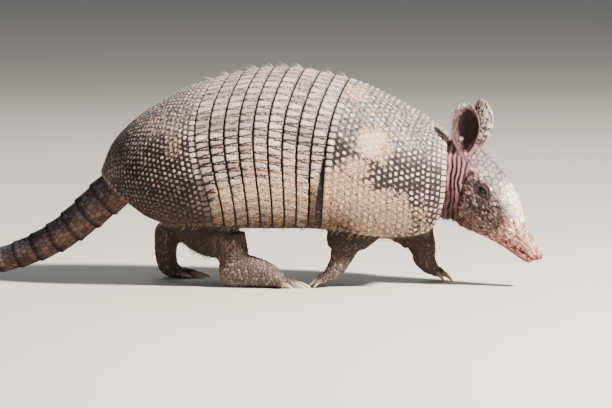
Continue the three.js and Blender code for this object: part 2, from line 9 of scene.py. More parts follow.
import bmesh
import bpy
import numpy as np
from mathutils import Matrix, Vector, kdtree


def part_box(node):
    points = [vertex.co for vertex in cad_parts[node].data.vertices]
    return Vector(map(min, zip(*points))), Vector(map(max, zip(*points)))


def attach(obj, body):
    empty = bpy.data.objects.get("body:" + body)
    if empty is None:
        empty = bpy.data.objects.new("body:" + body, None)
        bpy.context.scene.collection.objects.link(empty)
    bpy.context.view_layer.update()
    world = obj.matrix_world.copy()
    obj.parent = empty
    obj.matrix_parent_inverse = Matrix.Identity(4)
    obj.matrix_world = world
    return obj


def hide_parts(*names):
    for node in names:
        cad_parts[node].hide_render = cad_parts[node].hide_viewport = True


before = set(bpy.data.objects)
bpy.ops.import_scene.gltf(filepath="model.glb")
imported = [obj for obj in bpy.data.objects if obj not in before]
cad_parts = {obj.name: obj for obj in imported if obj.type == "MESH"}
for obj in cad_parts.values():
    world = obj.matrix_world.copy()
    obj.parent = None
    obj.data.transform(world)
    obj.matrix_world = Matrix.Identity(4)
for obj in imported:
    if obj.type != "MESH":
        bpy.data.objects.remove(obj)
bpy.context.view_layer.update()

MM = 0.001
DEG = math.pi / 180
FINE = 1.0

# --- driving dimensions, mm
# Sections of the shell, from the rump rim to the neck rim: x and z on the midline of the
# back, x and z at the lower edge, half-width
SHELL = np.array([
    [-165, 97, -128, 63, 40],
    [-153, 123.5, -114, 58, 53],
    [-129, 147, -97, 53.5, 62],
    [-95, 167.5, -79, 53, 66.5],
    [-64, 179, -61, 53, 68.5],
    [-9, 188.5, -17, 53, 69.5],
    [52, 178.5, 31, 52.5, 67],
    [87, 164, 75, 46, 62],
    [111, 150.5, 108, 46, 56],
    [125, 142, 127, 51, 51],
    [137, 131.5, 140, 60, 45],
])
PELVIC_BORDER = 4  # the section where the bands begin
SHOULDER_BORDER = 6  # the section where they end
EDGE_ANGLE = 127 * DEG  # from the midline round to the lower edge
WIDEST_LEVEL = 0.39  # height of the widest point, as a share of the section
BAND_BOW = (13, 6)  # how far the bands bow back on the flank, rear and front
BANDS = 9
PLATE = 3.2  # thickness of the shell
SHELL_LOWEST = 44  # nothing of the shell lies below this height
STEP_DOWN = 1.1  # drop from one plate's rear lip to the next plate
PELVIC_CORNER = 9  # how far the shields' lower corners are rounded off
SHOULDER_CORNER = 24
GAP = 0.3  # between neighbouring plates

NECK_HOLE = (129, 91, 31, 33)  # x, z, half-width and half-height of the trunk's front end
BELLY_DROP = 4  # belly below the shell's lower edge
TRUNK_CLEARANCE = (1.6, 4.2)  # between shell and trunk, at the bands and the neck
COAT = 0.25  # how deep the skin lies inside the solids

TAIL_ROOT = 17.5  # radii of the tail
TAIL_TIP = 1.8
TAIL_TAPER = 1.2  # power of the radius along the tail
TAIL_RINGS = 14
TAIL_RINGED = 0.7  # share of the tail that has rings
TAIL_SHORTENING = 1.15  # power by which the rings shorten towards the tip
TAIL_PATH = [  # centre line from behind its root to the floor, and along it
    [-204, 1, 39], [-251, 5, 18.6],
    [-300, 13, 9], [-351, 26, 5.7], [-402, 43, 3.3], [-449, 64, 1.4],
]

HEAD_NOSE = (221, -19, 26.5)  # top of the nose
HEAD_PITCH = 45 * DEG
HEAD_YAW = -15 * DEG
# Sections of the head: distance behind the nose and height of the top, the same of the
# underside, half-width, measured along and across the snout
HEAD = np.array([
    [0, 0.5, 1.5, -9, 6],
    [8, 3.2, 6, -14, 7.8],
    [20, 5.4, 18, -17.5, 9.2],
    [31, 7.4, 28, -19.5, 11.6],
    [40, 12.2, 36, -21.5, 14.4],
    [51, 17.8, 45, -24.5, 18],
    [65, 22, 54, -28, 21.5],
    [82, 24.6, 63, -32, 24.5],
    [100, 24.8, 71, -35, 25.5],
    [128, 20.5, 80, -37.5, 23.5],
])
HEAD_PLATE = 1.6  # thickness of the head shield
HEAD_PLATE_FROM = 34  # reach of the head shield, behind the nose
HEAD_PLATE_TO = 107
HEAD_PLATE_ANGLE = 58 * DEG
HEAD_ARC = 23  # mm along the head's surface for each radian round it
SHIELD_BED = 1.3  # depth of the bed that the head shield lies in
NOSTRIL_DEPTH = 1.7
SOCKET_LEVEL = 1.4  # of the eye socket's floor, out from the eye's middle
HEAD_PLATE_TAPER = (0.12, 0.3)  # share that it narrows by at the snout and the nape
EYE_RADIUS = 4
EYE_AT = (75.8, 19.6, 5.6)  # behind the nose, out from the midline, height
LID_OPENING = (3.9, 1.75)  # half-length and half-height between the lids
LID_RADIUS = 4.55  # of the lids' outside over the eyeball, from the eye's middle
LID_LINING = 3.7  # and of their inner edge, which lies in the eyeball

EAR_LENGTH = 46
EAR_HALF_WIDTH = 13
EAR_DEPTH = 8
EAR_THICK = 2.2
EAR_WIDEST = 0.55  # share of the length where the ear is widest
EAR_STALK = 0.4  # width at the root, as a share of the widest
EAR_CURL = (118, 72)  # degrees that each side rolls in, at the root and the tip
EAR_ROOT = (111, 14.3, 15)  # behind the nose, out from the midline, height
EAR_BACK_TILT = 39 * DEG
EAR_SPLAY = 15 * DEG
EAR_FACING = 35 * DEG  # how far the cup turns forward from sideways

# The legs, as rows of joints: x, y, z, half-width, half-depth. A toe is the x of its end,
# its offset from the foot's middle line and the length of its claw. Claws point down, to
# the front or the rear, where claw_slope is 1 or -1.
LEGS = {
    "hind_right": {
        "upper": [[-84, -30, 72, 17, 28], [-70, -34, 56, 17, 27], [-58, -37, 43, 15, 22],
                  [-50, -39, 34, 12, 14]],
        "lower": [[-50, -38.5, 46, 12, 15], [-48, -38.5, 35, 11, 15],
                  [-45, -38, 26, 10, 13.5], [-43, -38, 20, 7, 9]],
        "foot": [[-57, -38, 13, 6, 8], [-52, -38, 13.5, 9, 13.5], [-42, -38, 14.5, 10.5, 14.5],
                 [-28, -38, 13.5, 11.5, 13.5], [-14, -38, 10, 12, 10.5], [-4, -38, 6, 11, 6.5]],
        "toes_from": (-9, -38, 6),
        "toes": [(-2, -11, 9), (6, -6, 11), (9, 0, 12), (6, 6, 11), (-3, 11, 8.5)],
        "claw_slope": 0,
    },
    "hind_left": {
        "upper": [[-92, 30, 74, 17, 27], [-84, 33, 60, 17, 26], [-80, 36, 48, 15, 22],
                  [-80, 37, 37, 12, 15]],
        "lower": [[-80, 37, 50, 12, 15], [-92, 38, 45, 11.5, 13.5], [-103, 38, 41, 9.5, 11.5],
                  [-110, 38, 36, 7.5, 8.5]],
        "foot": [[-108, 38, 48, 5, 6], [-111, 38, 42, 8.5, 11.5], [-113, 38, 30, 9.5, 10.5],
                 [-113, 38, 18, 11, 9.5], [-110, 38, 9, 12, 8.5], [-103, 38, 5, 10.5, 5.5]],
        "toes_from": (-110, 38, 6),
        "toes": [(-98, -11, 10), (-90, -6, 12), (-87, 0, 13), (-90, 6, 12), (-99, 11, 9.5)],
        "claw_slope": 0,
    },
    "fore_right": {
        "upper": [[70, -30, 62, 14, 22], [60, -31, 52, 13.5, 20.5], [51, -31, 42, 12.5, 18],
                  [47, -31, 32, 10, 13]],
        "lower": [[50, -31, 42, 10, 14], [49, -31, 32, 9.5, 11.5], [46, -31, 24, 8.5, 9.5],
                  [42, -31, 18, 6, 7]],
        "foot": [[50, -31, 27, 5, 6], [46, -31, 22, 9, 8.5], [41, -31, 15, 10.5, 7.5],
                 [36, -31, 9.5, 10, 5.5]],
        "toes_from": (39, -31, 12),
        "toes": [(31, -9, 11), (28, -3.4, 15), (28, 3.4, 15), (32, 9, 10)],
        "claw_slope": -1,
    },
    "fore_left": {
        "upper": [[90, 28, 66, 14, 24], [97, 29, 54, 13.5, 22], [105, 30, 44, 13, 19],
                  [110, 30, 34, 10.5, 14]],
        "lower": [[108, 30, 44, 10.5, 15.5], [112, 30, 34, 10, 13], [115, 30, 26, 9.5, 11],
                  [117, 30, 19, 7, 8]],
        "foot": [[110, 30, 27, 5, 7], [114, 30, 21, 9, 9.5], [119, 30, 14, 10.5, 8],
                 [124, 30, 9, 10, 5.5]],
        "toes_from": (120, 30, 11),
        "toes": [(127, -9, 10), (131, -3.4, 14), (131, 3.4, 14), (126, 9, 9)],
        "claw_slope": 1,
    },
}
TOE_RADII = (4, 3.4)  # of a toe at its root and its end
TOE_SLIMNESS = 0.8  # width of a toe or claw, as a share of its depth
TOE_ROOT_SPREAD = 0.7  # spread of the toes at their roots, as a share of the tips'
TOE_LEVEL = (3.2, 6.5)  # height of a toe's end, flat on the floor or on its claw
CLAW_RADII = (2.6, 0.7)
CLAW_TIP_LEVEL = 0.4
CLAW_ARCH = 1.1
CLAW_SPLAY = 1.1  # spread of the claws' points, as a share of the toe ends'
STEEP_CLAW_REACH = 0.62  # distance ahead of a steep claw's point, per its length

SURFACE_STEP = 0.65 * FINE  # spacing of the points on the shell
SHIELD_ROW_STEP = 0.575 * FINE  # spacing of the rows of points on the two shields
SCUTE_PELVIC = 4.9  # pitch of the scutes
SCUTE_SCAPULAR = 6.0
SCUTE_RIM = 4.9  # pitch of the small scutes by the neck rim and the rump rim
BAR = 7.2  # pitch of the bars across each band
SKIN_STEP = 0.85 * FINE  # size of the skin's faces
SKIN_ROUNDS = 5  # of smoothing where the tubes of flesh meet
SKIN_TRIANGLES = 165000 / FINE**2
BAND_BRISTLES = round(75 / FINE)  # under each band's lip
SHIELD_BRISTLES = round(420 / FINE)  # between each shield's scutes
# The dark edge bristles are hair darkened to paint the shade under the lower edge
EDGE_BRISTLES = (round(340 / FINE), round(110 / FINE))  # dark and pale, under each lower edge
TAIL_BRISTLES = round(420 / FINE)


# --- numbers and patterns
def blend(low, high, share):
    return low + (high - low) * share


def smooth(low, high, value):
    """0 below low, 1 above high, and an even S between them."""
    share = np.clip((value - low) / (high - low), 0, 1)
    return share * share * (3 - 2 * share)


def bump(value, centre, reach):
    """1 at the centre, falling to 0 at reach on both sides."""
    return 1 - smooth(0, reach, np.abs(value - centre))


def unit(vectors):
    return vectors / np.maximum(np.linalg.norm(vectors, axis=-1, keepdims=True), 1e-12)


def hermite(p, q, m, n, t):
    """Points between p and q, at the shares t, on a curve that leaves as m and arrives as n."""
    return p + t * m + t**2 * (3 * (q - p) - 2 * m - n) + t**3 * (2 * (p - q) + m + n)


def between(rows, knots, at):
    """Smooth values between rows of numbers, spaced along a shape by their knots."""
    at = np.asarray(at, float)
    i = np.clip(np.searchsorted(knots, at) - 1, 0, len(rows) - 2)
    index = np.arange(len(rows))
    before, after = np.maximum(index - 1, 0), np.minimum(index + 1, len(rows) - 1)
    slopes = (rows[after] - rows[before]) / (knots[after] - knots[before])[:, None]
    span = (knots[i + 1] - knots[i])[..., None]
    t = (at - knots[i])[..., None] / span
    return hermite(rows[i], rows[i + 1], slopes[i] * span, slopes[i + 1] * span, t)


def scatter(cells, seed):
    """A number from 0 to 1 for each row of three whole numbers, the same at every run."""
    mixed = cells.astype(np.int64) @ np.array([73856093, 19349663, 83492791])
    mixed = (mixed + seed * 2654435761) & 0xFFFFFFFF
    for bits, factor in ((15, 2246822519), (13, 3266489917)):
        mixed = ((mixed ^ (mixed >> bits)) * factor) & 0xFFFFFFFF
    return (mixed ^ (mixed >> 16)) / 0xFFFFFFFF


def lots(numbers, salt, seed):
    """The same for each single whole number."""
    return scatter(stacked(numbers, numbers * 0 + salt, numbers * 0), seed)


def noise(points, size, seed=0):
    """Soft random values from 0 to 1, with features about size across."""
    place = points / size
    cell = np.floor(place)
    part = place - cell
    part = part * part * (3 - 2 * part)
    total = 0
    for corner in np.ndindex(2, 2, 2):
        weight = np.prod(np.where(corner, part, 1 - part), axis=-1)
        total = total + weight * scatter(cell + corner, seed)
    return total


def rough(points, size, seed=0, layers=4):
    """Noise in layers, each half the size and strength of the one before."""
    total = sum(noise(points, size / 2**k, seed + k) / 2**k for k in range(layers))
    return total / sum(1 / 2**k for k in range(layers))


def lengths(points, axis):
    """Length run from the first point to each point, along one axis of a grid."""
    step = np.linalg.norm(np.diff(points, axis=axis), axis=-1)
    start = np.zeros_like(np.take(step, [0], axis))
    return np.concatenate([start, np.cumsum(step, axis)], axis)


def stacked(*values):
    """Points or cells from their separate parts."""
    return np.stack(values, -1)


def points_at(at, run, line):
    """Points of a line at places along its run."""
    return np.stack([np.interp(at, run, line[:, k]) for k in range(3)], -1)


def spread(start, end, step):
    """Evenly spaced numbers from start to end, about a step apart."""
    return np.linspace(start, end, max(2, round(abs(end - start) / step) + 1))


def parts(points):
    """x from the shell's own zero, y and z of points."""
    return points[..., 0] - FORWARD, points[..., 1], points[..., 2]


def crossed(down, along):
    """Two grids, one with its rows' values and one with its columns'."""
    return np.meshgrid(down, along, indexing="ij")


def round_turn(count):
    """Even angles all the way round."""
    return np.linspace(0, 2 * np.pi, count, endpoint=False)


def tree_of(points):
    tree = kdtree.KDTree(len(points))
    for index, point in enumerate(points):
        tree.insert(point, index)
    tree.balance()
    return tree


def nearest(points, seeds, count):
    """Distances to the nearest seeds of each point and their numbers, nearest first."""
    tree = tree_of(seeds)
    found = np.array([[(hit[2], hit[1]) for hit in tree.find_n(point, count)]
                      for point in points])
    return found[..., 0], found[..., 1].astype(int)


def cell_of(points, seeds, count=2):
    """For each point of a grid, the number of the nearest seed, the distances to the nearest
    ones and the distance to the edge of the seed's own cell."""
    distance, index = nearest(points.reshape(-1, 3), seeds, count)
    gap = np.linalg.norm(seeds[index[:, 0]] - seeds[index[:, 1]], axis=-1)
    to_edge = (distance[:, 1] ** 2 - distance[:, 0] ** 2) / (2 * np.maximum(gap, 0.5))
    shape = points.shape[:-1]
    return (index[:, 0].reshape(shape), distance.T.reshape(count, *shape),
            to_edge.reshape(shape))


# --- meshes
MARK_KINDS = {1: ("FLOAT", "value"), 3: ("FLOAT_VECTOR", "vector"), 4: ("FLOAT_COLOR", "color")}


def new_mesh(name, points, faces, marks=None):
    """An object from points in millimetres and faces, with each mark's values at the points:
    a number, a vector or a colour with its alpha."""
    mesh = bpy.data.meshes.new(name)
    mesh.from_pydata((points * MM).tolist(), [], faces)
    for mark, values in (marks or {}).items():
        values = np.asarray(values, np.float32)
        kind, field = MARK_KINDS[values.size // len(points)]
        attribute = mesh.attributes.new(mark, kind, "POINT")
        attribute.data.foreach_set(field, values.ravel())
    mesh.shade_smooth()
    made = bpy.data.objects.new(name, mesh)
    bpy.context.scene.collection.objects.link(made)
    return made


def grid_faces(rows, columns, first=0, flip=False):
    """Four-sided faces of a grid whose points are numbered row by row from first."""
    corner = first + np.arange(rows - 1)[:, None] * columns + np.arange(columns - 1)
    ring = [corner, corner + 1, corner + columns + 1, corner + columns]
    faces = np.stack(ring[::-1] if flip else ring, -1)
    return faces.reshape(-1, 4).tolist()


def dress(piece, finish, slot, *nodes):
    """Gives a piece its finish and lets it stand for CAD nodes, on the still body."""
    piece.data.materials.append(finish)
    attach(piece, "root")
    if nodes:
        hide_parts(*nodes)
    return piece


def read(items, field, width=1, kind=np.float32):
    """One field of a mesh's vertices, edges, faces, corners or marks, a row for each."""
    values = np.empty(len(items) * width, kind)
    items.foreach_get(field, values)
    return values.reshape(-1, width) if width > 1 else values


def vertices_of(mesh):
    return read(mesh.vertices, "co", 3).astype(float) / MM


def normals_of(mesh):
    return read(mesh.vertices, "normal", 3).astype(float)


def faces_of(mesh):
    starts = read(mesh.polygons, "loop_start", kind=np.int32)
    totals = read(mesh.polygons, "loop_total", kind=np.int32)
    corners = read(mesh.loops, "vertex_index", kind=np.int32)
    return [corners[a:a + n].tolist() for a, n in zip(starts, totals)]


def place_vertices(mesh, points):
    mesh.vertices.foreach_set("co", (points * MM).astype(np.float32).ravel())
    mesh.update()


def flip_inside_out(piece):
    """Turns a closed piece's faces outwards if they face in."""
    shape = bmesh.new()
    shape.from_mesh(piece.data)
    if shape.calc_volume(signed=True) < 0:
        bmesh.ops.reverse_faces(shape, faces=shape.faces)
    shape.to_mesh(piece.data)
    shape.free()


# --- shader maths
class Wire:
    """An output in a finish's nodes. Sums written with it add their Math nodes."""

    def __init__(self, finish, socket):
        self.finish = finish
        self.socket = socket

    def maths(self, operation, *values):
        inputs = dict(enumerate(values))
        return self.finish.node("ShaderNodeMath", {"operation": operation}, inputs)

    def __add__(self, other):
        return self.maths("ADD", self, other)

    def __sub__(self, other):
        return self.maths("SUBTRACT", self, other)

    def __rsub__(self, other):
        return self.maths("SUBTRACT", other, self)

    def __mul__(self, other):
        return self.maths("MULTIPLY", self, other)

    __radd__ = __add__
    __rmul__ = __mul__

    def within(self, low, high):
        """0 below low, 1 above high, and an even S between them."""
        return self.finish.node(
            "ShaderNodeMapRange", {"interpolation_type": "SMOOTHSTEP"},
            {"Value": self, "From Min": low, "From Max": high})


class Finish:
    """A material on the Principled shader, with one method that adds any node."""

    def __init__(self, name, constants=None):
        self.material = bpy.data.materials.new(name)
        self.material.use_nodes = True
        self.tree = self.material.node_tree
        self.surface = self.tree.nodes["Principled BSDF"]
        for key, value in (constants or {}).items():
            self.surface.inputs[key].default_value = value
        self.place = self.node("ShaderNodeTexCoord", output="Object")

    def node(self, kind, settings=None, inputs=None, output=0):
        node = self.tree.nodes.new(kind)
        for key, value in (settings or {}).items():
            setattr(node, key, value)
        for key, value in (inputs or {}).items():
            self.join(value, node.inputs[key])
        return Wire(self, node.outputs[output])

    def join(self, value, socket):
        """Links a wire to a socket, or sets its value or its colour's screen code."""
        if isinstance(value, Wire):
            self.tree.links.new(value.socket, socket)
        elif isinstance(value, str):
            socket.default_value = (*hue(value), 1)
        else:
            socket.default_value = value

    def mark(self, name, output="Fac"):
        """The value that the mesh carries under this name, or its colour."""
        return self.node("ShaderNodeAttribute", {"attribute_name": name}, output=output)

    def marks(self, *names):
        """The numbers that the mesh carries under these names."""
        return [self.mark(name) for name in names]

    def shade(self, colour, factor):
        """A colour made darker or lighter by a factor that varies."""
        return self.node("ShaderNodeVectorMath", {"operation": "SCALE"},
                         {"Vector": colour, "Scale": factor})

    def speckle(self, size_mm, detail=3, roughness=0.6, stretch=None):
        """Soft noise from 0 to 1, with features about size_mm across."""
        place = self.place
        if stretch:
            place = self.node("ShaderNodeMapping", {"vector_type": "POINT"},
                              {"Vector": place, "Scale": stretch})
        return self.node(
            "ShaderNodeTexNoise", None,
            {"Vector": place, "Scale": 1 / (size_mm * MM), "Detail": detail,
             "Roughness": roughness}, "Fac")

    def pebbles(self, size_mm):
        """Distance from the middle of the nearest of many cells, about size_mm across."""
        return self.node(
            "ShaderNodeTexVoronoi", {"feature": "F1"},
            {"Vector": self.place, "Scale": 1 / (size_mm * MM), "Randomness": 0.9}, "Distance")

    def mix(self, share, first, second):
        """A colour from the first, at 0, to the second, at 1."""
        return self.node("ShaderNodeMix", {"data_type": "RGBA"},
                         {0: share, 6: first, 7: second}, 2)

    def over(self, colour, *layers):
        """A colour with others laid over it in turn, each given by its share and colour."""
        for share, layer in layers:
            colour = self.mix(share, colour, layer)
        return colour

    def emboss(self, height, depth_mm):
        """A normal that follows a height from 0 to 1, depth_mm deep."""
        bumped = self.node("ShaderNodeBump", None,
                           {"Height": height, "Distance": depth_mm * MM, "Strength": 1.0})
        self.join(bumped, self.surface.inputs["Normal"])

    def paint(self, colour, roughness):
        """Sets the two sockets that every finish has, and returns the material."""
        self.join(colour, self.surface.inputs["Base Color"])
        self.join(roughness, self.surface.inputs["Roughness"])
        return self.material


def hue(text):
    """A colour from its screen code, as the shader's linear values."""
    screen = [int(text[i:i + 2], 16) / 255 for i in (0, 2, 4)]
    return tuple(c / 12.92 if c < 0.04045 else ((c + 0.055) / 1.055) ** 2.4 for c in screen)


# --- the shell's surface
def knots_of(sections):
    """Places of the shell's sections along it: the mean of the top's and the edge's run."""
    step = np.diff(sections[:, :4], axis=0)
    middle = np.hypot(step[:, 0] + step[:, 2], step[:, 1] + step[:, 3]) / 2
    return np.concatenate([[0], np.cumsum(middle)])


SHELL_KNOTS = knots_of(SHELL)
SHELL_LENGTH = SHELL_KNOTS[-1]
BANDS_FROM = SHELL_KNOTS[PELVIC_BORDER]
BANDS_TO = SHELL_KNOTS[SHOULDER_BORDER]
BAND_LINES = np.linspace(BANDS_FROM, BANDS_TO, BANDS + 1)
# The solids stand with the middle of their box at the origin, so the rump says where x is 0
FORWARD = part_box("pelvic_shield")[0][0] / MM - SHELL[0, 0]


def shell_point(along, angle, depth=0.0):
    """A point on the shell: along runs from the rump rim, angle from the midline to either
    edge, and depth goes in from the outer surface."""
    tx, tz, ex, ez, half = np.moveaxis(between(SHELL, SHELL_KNOTS, along), -1, 0)
    height = np.hypot(tx - ex, tz - ez)
    low = height * WIDEST_LEVEL
    turn = np.abs(angle)
    deep = low / np.sin(EDGE_ANGLE - np.pi / 2)
    rise = np.where(turn <= np.pi / 2, height - low - depth, deep - depth) * np.cos(turn)
    place = np.clip((along - BANDS_FROM) / (BANDS_TO - BANDS_FROM), 0, 1)
    fade = np.minimum(along / BANDS_FROM, (SHELL_LENGTH - along) / (SHELL_LENGTH - BANDS_TO))
    bow = blend(*BAND_BOW, place) * np.minimum(fade, 1)
    bow = bow * np.sin(np.pi * np.minimum(turn / EDGE_ANGLE, 1)) ** 2
    return stacked(
        FORWARD + ex + (tx - ex) / height * (low + rise) - bow,
        (half - depth) * np.sin(angle),
        ez + (tz - ez) / height * (low + rise),
    )


def corner_inset(angle, reach):
    share = np.minimum(np.abs(angle) / EDGE_ANGLE, 1)
    return reach * (1 - (1 - share**5) ** (1 / 3))


HALF_GIRTH = lengths(shell_point(np.full(200, (BANDS_FROM + BANDS_TO) / 2),
                                 np.linspace(0, EDGE_ANGLE, 200)), 0)[-1]
ANGLES = spread(-EDGE_ANGLE, EDGE_ANGLE, SURFACE_STEP / HALF_GIRTH * EDGE_ANGLE)


# Dried mud: the middle (x, z) and half-size of each patch on the right and the left flank
MUD_RIGHT = [
    (76, 124, 15, 15, 1.0), (62, 105, 14, 12, 0.8), (50, 80, 26, 26, 0.88), (84, 62, 34, 22, 0.9),
    (33, 70, 16, 30, 0.9), (0, 75, 22, 30, 0.8), (-28, 78, 16, 28, 0.8), (-50, 74, 10, 24, 0.75),
    (60, 168, 8, 7, 0.7), (35, 166, 7, 6, 0.45), (10, 112, 22, 16, 0.4), (-22, 118, 16, 14, 0.36),
    (-112, 140, 16, 8, 0.33), (-94, 126, 9, 14, 0.3),
]
MUD_LEFT = [
    (60, 110, 20, 17, 0.9), (80, 70, 30, 24, 0.95), (40, 78, 22, 28, 0.9), (5, 80, 24, 28, 0.8),
    (-30, 70, 20, 24, 0.8), (-62, 72, 20, 20, 0.7), (20, 125, 18, 14, 0.45), (-70, 140, 16, 10, 0.5),
    (95, 120, 9, 9, 0.6), (-110, 118, 12, 12, 0.45),
]


def mud_cover(points):
    """How much dried mud lies on each point of the shell, from 0 to 1."""
    x, y, z = parts(points)
    ragged = (rough(points, 9, 3) - 0.5) * 1.5 + (rough(points, 2.4, 8, 3) - 0.5) * 1.1
    cover = np.zeros(x.shape)
    for side, patches in ((-1, MUD_RIGHT), (1, MUD_LEFT)):
        here = smooth(-8, 8, side * y)
        for cx, cz, reach_x, reach_z, most in patches:
            away = np.hypot((x - cx) / reach_x, (z - cz) / reach_z)
            cover = np.maximum(cover, here * most * smooth(1.4, 0.55, away + ragged * 0.7))
    return cover


def dust_and_sky_sheen_cover(points, angle):
    """Thin grey dust over the upper back, with painted sky reflection in it, from 0 to 1."""
    level = smooth(1.35, 0.75, np.abs(angle) + (rough(points, 16, 21) - 0.5) * 0.7)
    return level * blend(0.75, 1, rough(points, 3, 22, 2))


def rump_shade_share(points):
    """How much painted shade darkens the horn and flattens its pattern: most low on the rump."""
    x, _, z = parts(points)
    ragged = (rough(points, 12, 24, 3) - 0.5) * 18
    low = smooth(112, 84, z + ragged) * smooth(-46, -70, x)
    return np.maximum(low, smooth(-60, -120, x + ragged) * smooth(152, 116, z + ragged) * 0.8)


def low_shade_and_grime(points):
    """Painted shade and grime along the lower edge, most on the bands and the rump, from 0 to 1."""
    x, _, z = parts(points)
    ragged = (rough(points, 7, 26, 3) - 0.5) * 12
    return smooth(84, 54, z + ragged) * blend(0.4, 1, smooth(75, 45, x))


def weathered(base, angle):
    """The marks that all the shell's plates carry."""
    return {"mud": mud_cover(base), "dust_and_sky_sheen": dust_and_sky_sheen_cover(base, angle),
            "rump_shade": rump_shade_share(base), "low": low_shade_and_grime(base)}


# --- scutes of the shields
BORDER_ROW = 3.8  # distance of a shield's first row of scutes from the bands
EDGE_ROW = 3.1  # and of its row along the lower edge from that edge
RIM_ROW = 2.6  # and of its last row from the rim
INNER_ROW = 7.3  # where the rows between begin
ROW_GAIN = 0.9  # from row to row, as a share of the pitch
CROWDED = 0.72  # share of the pitch under which a scute is left out


def along_row(line, pitch, start):
    """Points at an even pitch both ways from the middle of a row, start being the offset."""
    run = lengths(line, 0)
    middle = run[np.argmin(np.abs(line[:, 1]))]
    count = int(run[-1] / pitch) + 2
    at = middle + (np.arange(-count, count + 1) + start) * pitch
    return points_at(at[(at > run[0]) & (at < run[-1])], run, line)


def scute_seeds(base, pitch, rim_rows):
    """Middles of a shield's scutes: [points, pitch, flatness]. The grid's first row is the
    border with the bands and its last row the free rim."""
    down, across = lengths(base, 0), lengths(base, 1)
    total = down[-1]
    groups = []  # points, their pitch and flatness, and whether they stay where they are

    def add_row(away, columns, step, start, flat, fixed):
        away = away + total * 0
        line = np.array([points_at(away[j], down[:, j], base[:, j]) for j in columns])
        groups.append((along_row(line, step, start), step, flat, fixed))

    add_row(BORDER_ROW, np.flatnonzero(total > 12), pitch, 0.5, 0.6, True)
    for run in (across, across[:, -1:] - across):
        i, j = np.arange(len(base)), np.abs(run - EDGE_ROW).argmin(1)
        line = base[i, j][(down[i, j] > 9) & (down[i, j] < total[j] - 5)]
        run = lengths(line, 0)
        step = pitch * 1.02
        groups.append((points_at(np.arange(2.0, run[-1], step), run, line), step, 0.3, True))
    for number in range(rim_rows):
        inset = RIM_ROW + number * SCUTE_RIM * ROW_GAIN
        add_row(total - inset, np.flatnonzero(total > inset + 10), SCUTE_RIM,
                0.5 * (number % 2), 0.3 if number else 0.75, number == 0)
    # The rows between keep their number of scutes while the girth lets them
    away = INNER_ROW + pitch * 0.46
    number, count = 0, 1
    while away < total.max() - 3:
        girth = across[np.argmin(np.abs(down[:, base.shape[1] // 2] - away)), -1]
        if not 0.78 < girth / count / pitch < 1.25:
            count = round(girth / pitch)
        columns = np.flatnonzero(total > away + 3)
        if len(columns) > 12:
            add_row(away, columns, girth / count, 0.5 * (number % 2), 0.0, False)
        away += girth / count * ROW_GAIN
        number += 1
    points = np.concatenate([group[0] for group in groups])
    sizes = [len(group[0]) for group in groups]
    pitches, flats, fixed = (np.repeat([g[k] for g in groups], sizes) for k in (1, 2, 3))
    # Scutes that would crowd an earlier one are left out
    keep = np.ones(len(points), bool)
    tree = tree_of(points)
    for index, point in enumerate(points):
        close = [hit[1] for hit in tree.find_range(point, pitches[index] * CROWDED)]
        keep[index] = not any(other < index and keep[other] for other in close)
    return spread_out(points[keep], pitches[keep], fixed[keep]), pitches[keep], flats[keep]


def spread_out(points, pitches, fixed):
    """Moves scutes apart a little at a time until they lie evenly."""
    points = points.copy()
    for _ in range(14):
        offset = points[:, None] - points[None]
        distance = np.linalg.norm(offset, axis=-1)
        wanted = (pitches[:, None] + pitches[None]) * 0.52
        push = np.clip(1 - distance / wanted, 0, 1)
        np.fill_diagonal(push, 0)
        move = (offset / np.maximum(distance, 1e-6)[..., None] * push[..., None]).sum(1)
        points += np.where(fixed[:, None], 0, move * 0.45 * pitches[:, None] / 3)
    return points


def scute_relief(base, seeds, pitches, flats):
    """Marks and height of the scutes at each point of a shield."""
    near, (first, _, third), to_edge = cell_of(base, seeds, 3)
    pitch, flat = pitches[near], flats[near]
    lot = lots(near, 5, 11)
    # A rosette: a raised many-sided middle on sunken ground, with small figures between
    within = 0.5 - first / pitch + to_edge / pitch
    level = blend(0.66, 0.4, lot) + (noise(base, pitch.mean() * 0.3, 7) - 0.5) * 0.4
    dome = smooth(level - 0.07, level + 0.12, within)
    small = smooth(0.22, 0.05, (third - first) / pitch) * smooth(0.45, 0.7, noise(base, 1.6, 9))
    sunk = smooth(0.4, 0.12, within)
    rosette = 0.55 * dome * blend(0.75, 1, within) + 0.2 * small - 0.14 * sunk
    # A flat scute: an even tablet with a rounded edge
    tablet = smooth(pitch * 0.05, pitch * 0.16, to_edge)
    return {
        "height": blend(rosette, 0.42 * tablet - 0.12, flat),
        "figure": blend(np.clip(dome + 0.4 * small, 0, 1), tablet, flat),
        "groove": blend(0.5 * sunk * (1 - small), 1 - tablet, flat),
        "flat": flat,
        "lot": lot,
    }


def closed_plate(name, outer, inner, pick, marks):
    """A plate between a fine outer grid and a plain one under it, which has the outer grid's
    picked rows."""
    rows, columns = outer.shape[:2]
    points = np.concatenate([outer.reshape(-1, 3), inner.reshape(-1, 3)])
    below = rows * columns
    faces = grid_faces(rows, columns, flip=True)
    faces += grid_faces(len(pick), columns, below)
    last, last_in = (rows - 1) * columns, below + (len(pick) - 1) * columns
    for j in range(columns - 1):
        faces.append([j, j + 1, below + j + 1, below + j])
        faces.append([last + j + 1, last + j, last_in + j, last_in + j + 1])
    for j, turn in ((0, 1), (columns - 1, -1)):
        side = list(range(j, below, columns))
        under = list(range(below + j, len(points), columns))
        faces.append((side[::-1] + under)[::turn])
    values = {key: np.concatenate([value.ravel(), value[pick].ravel()])
              for key, value in marks.items()}
    return new_mesh(name, points, faces, values)


def shell_plate(name, along, angle, depth, inner_rows, marks):
    pick = np.linspace(0, len(along) - 1, inner_rows).round().astype(int)
    inner = shell_point(along[pick], angle[pick], PLATE)
    return closed_plate(name, shell_point(along, angle, depth), inner, pick, marks)


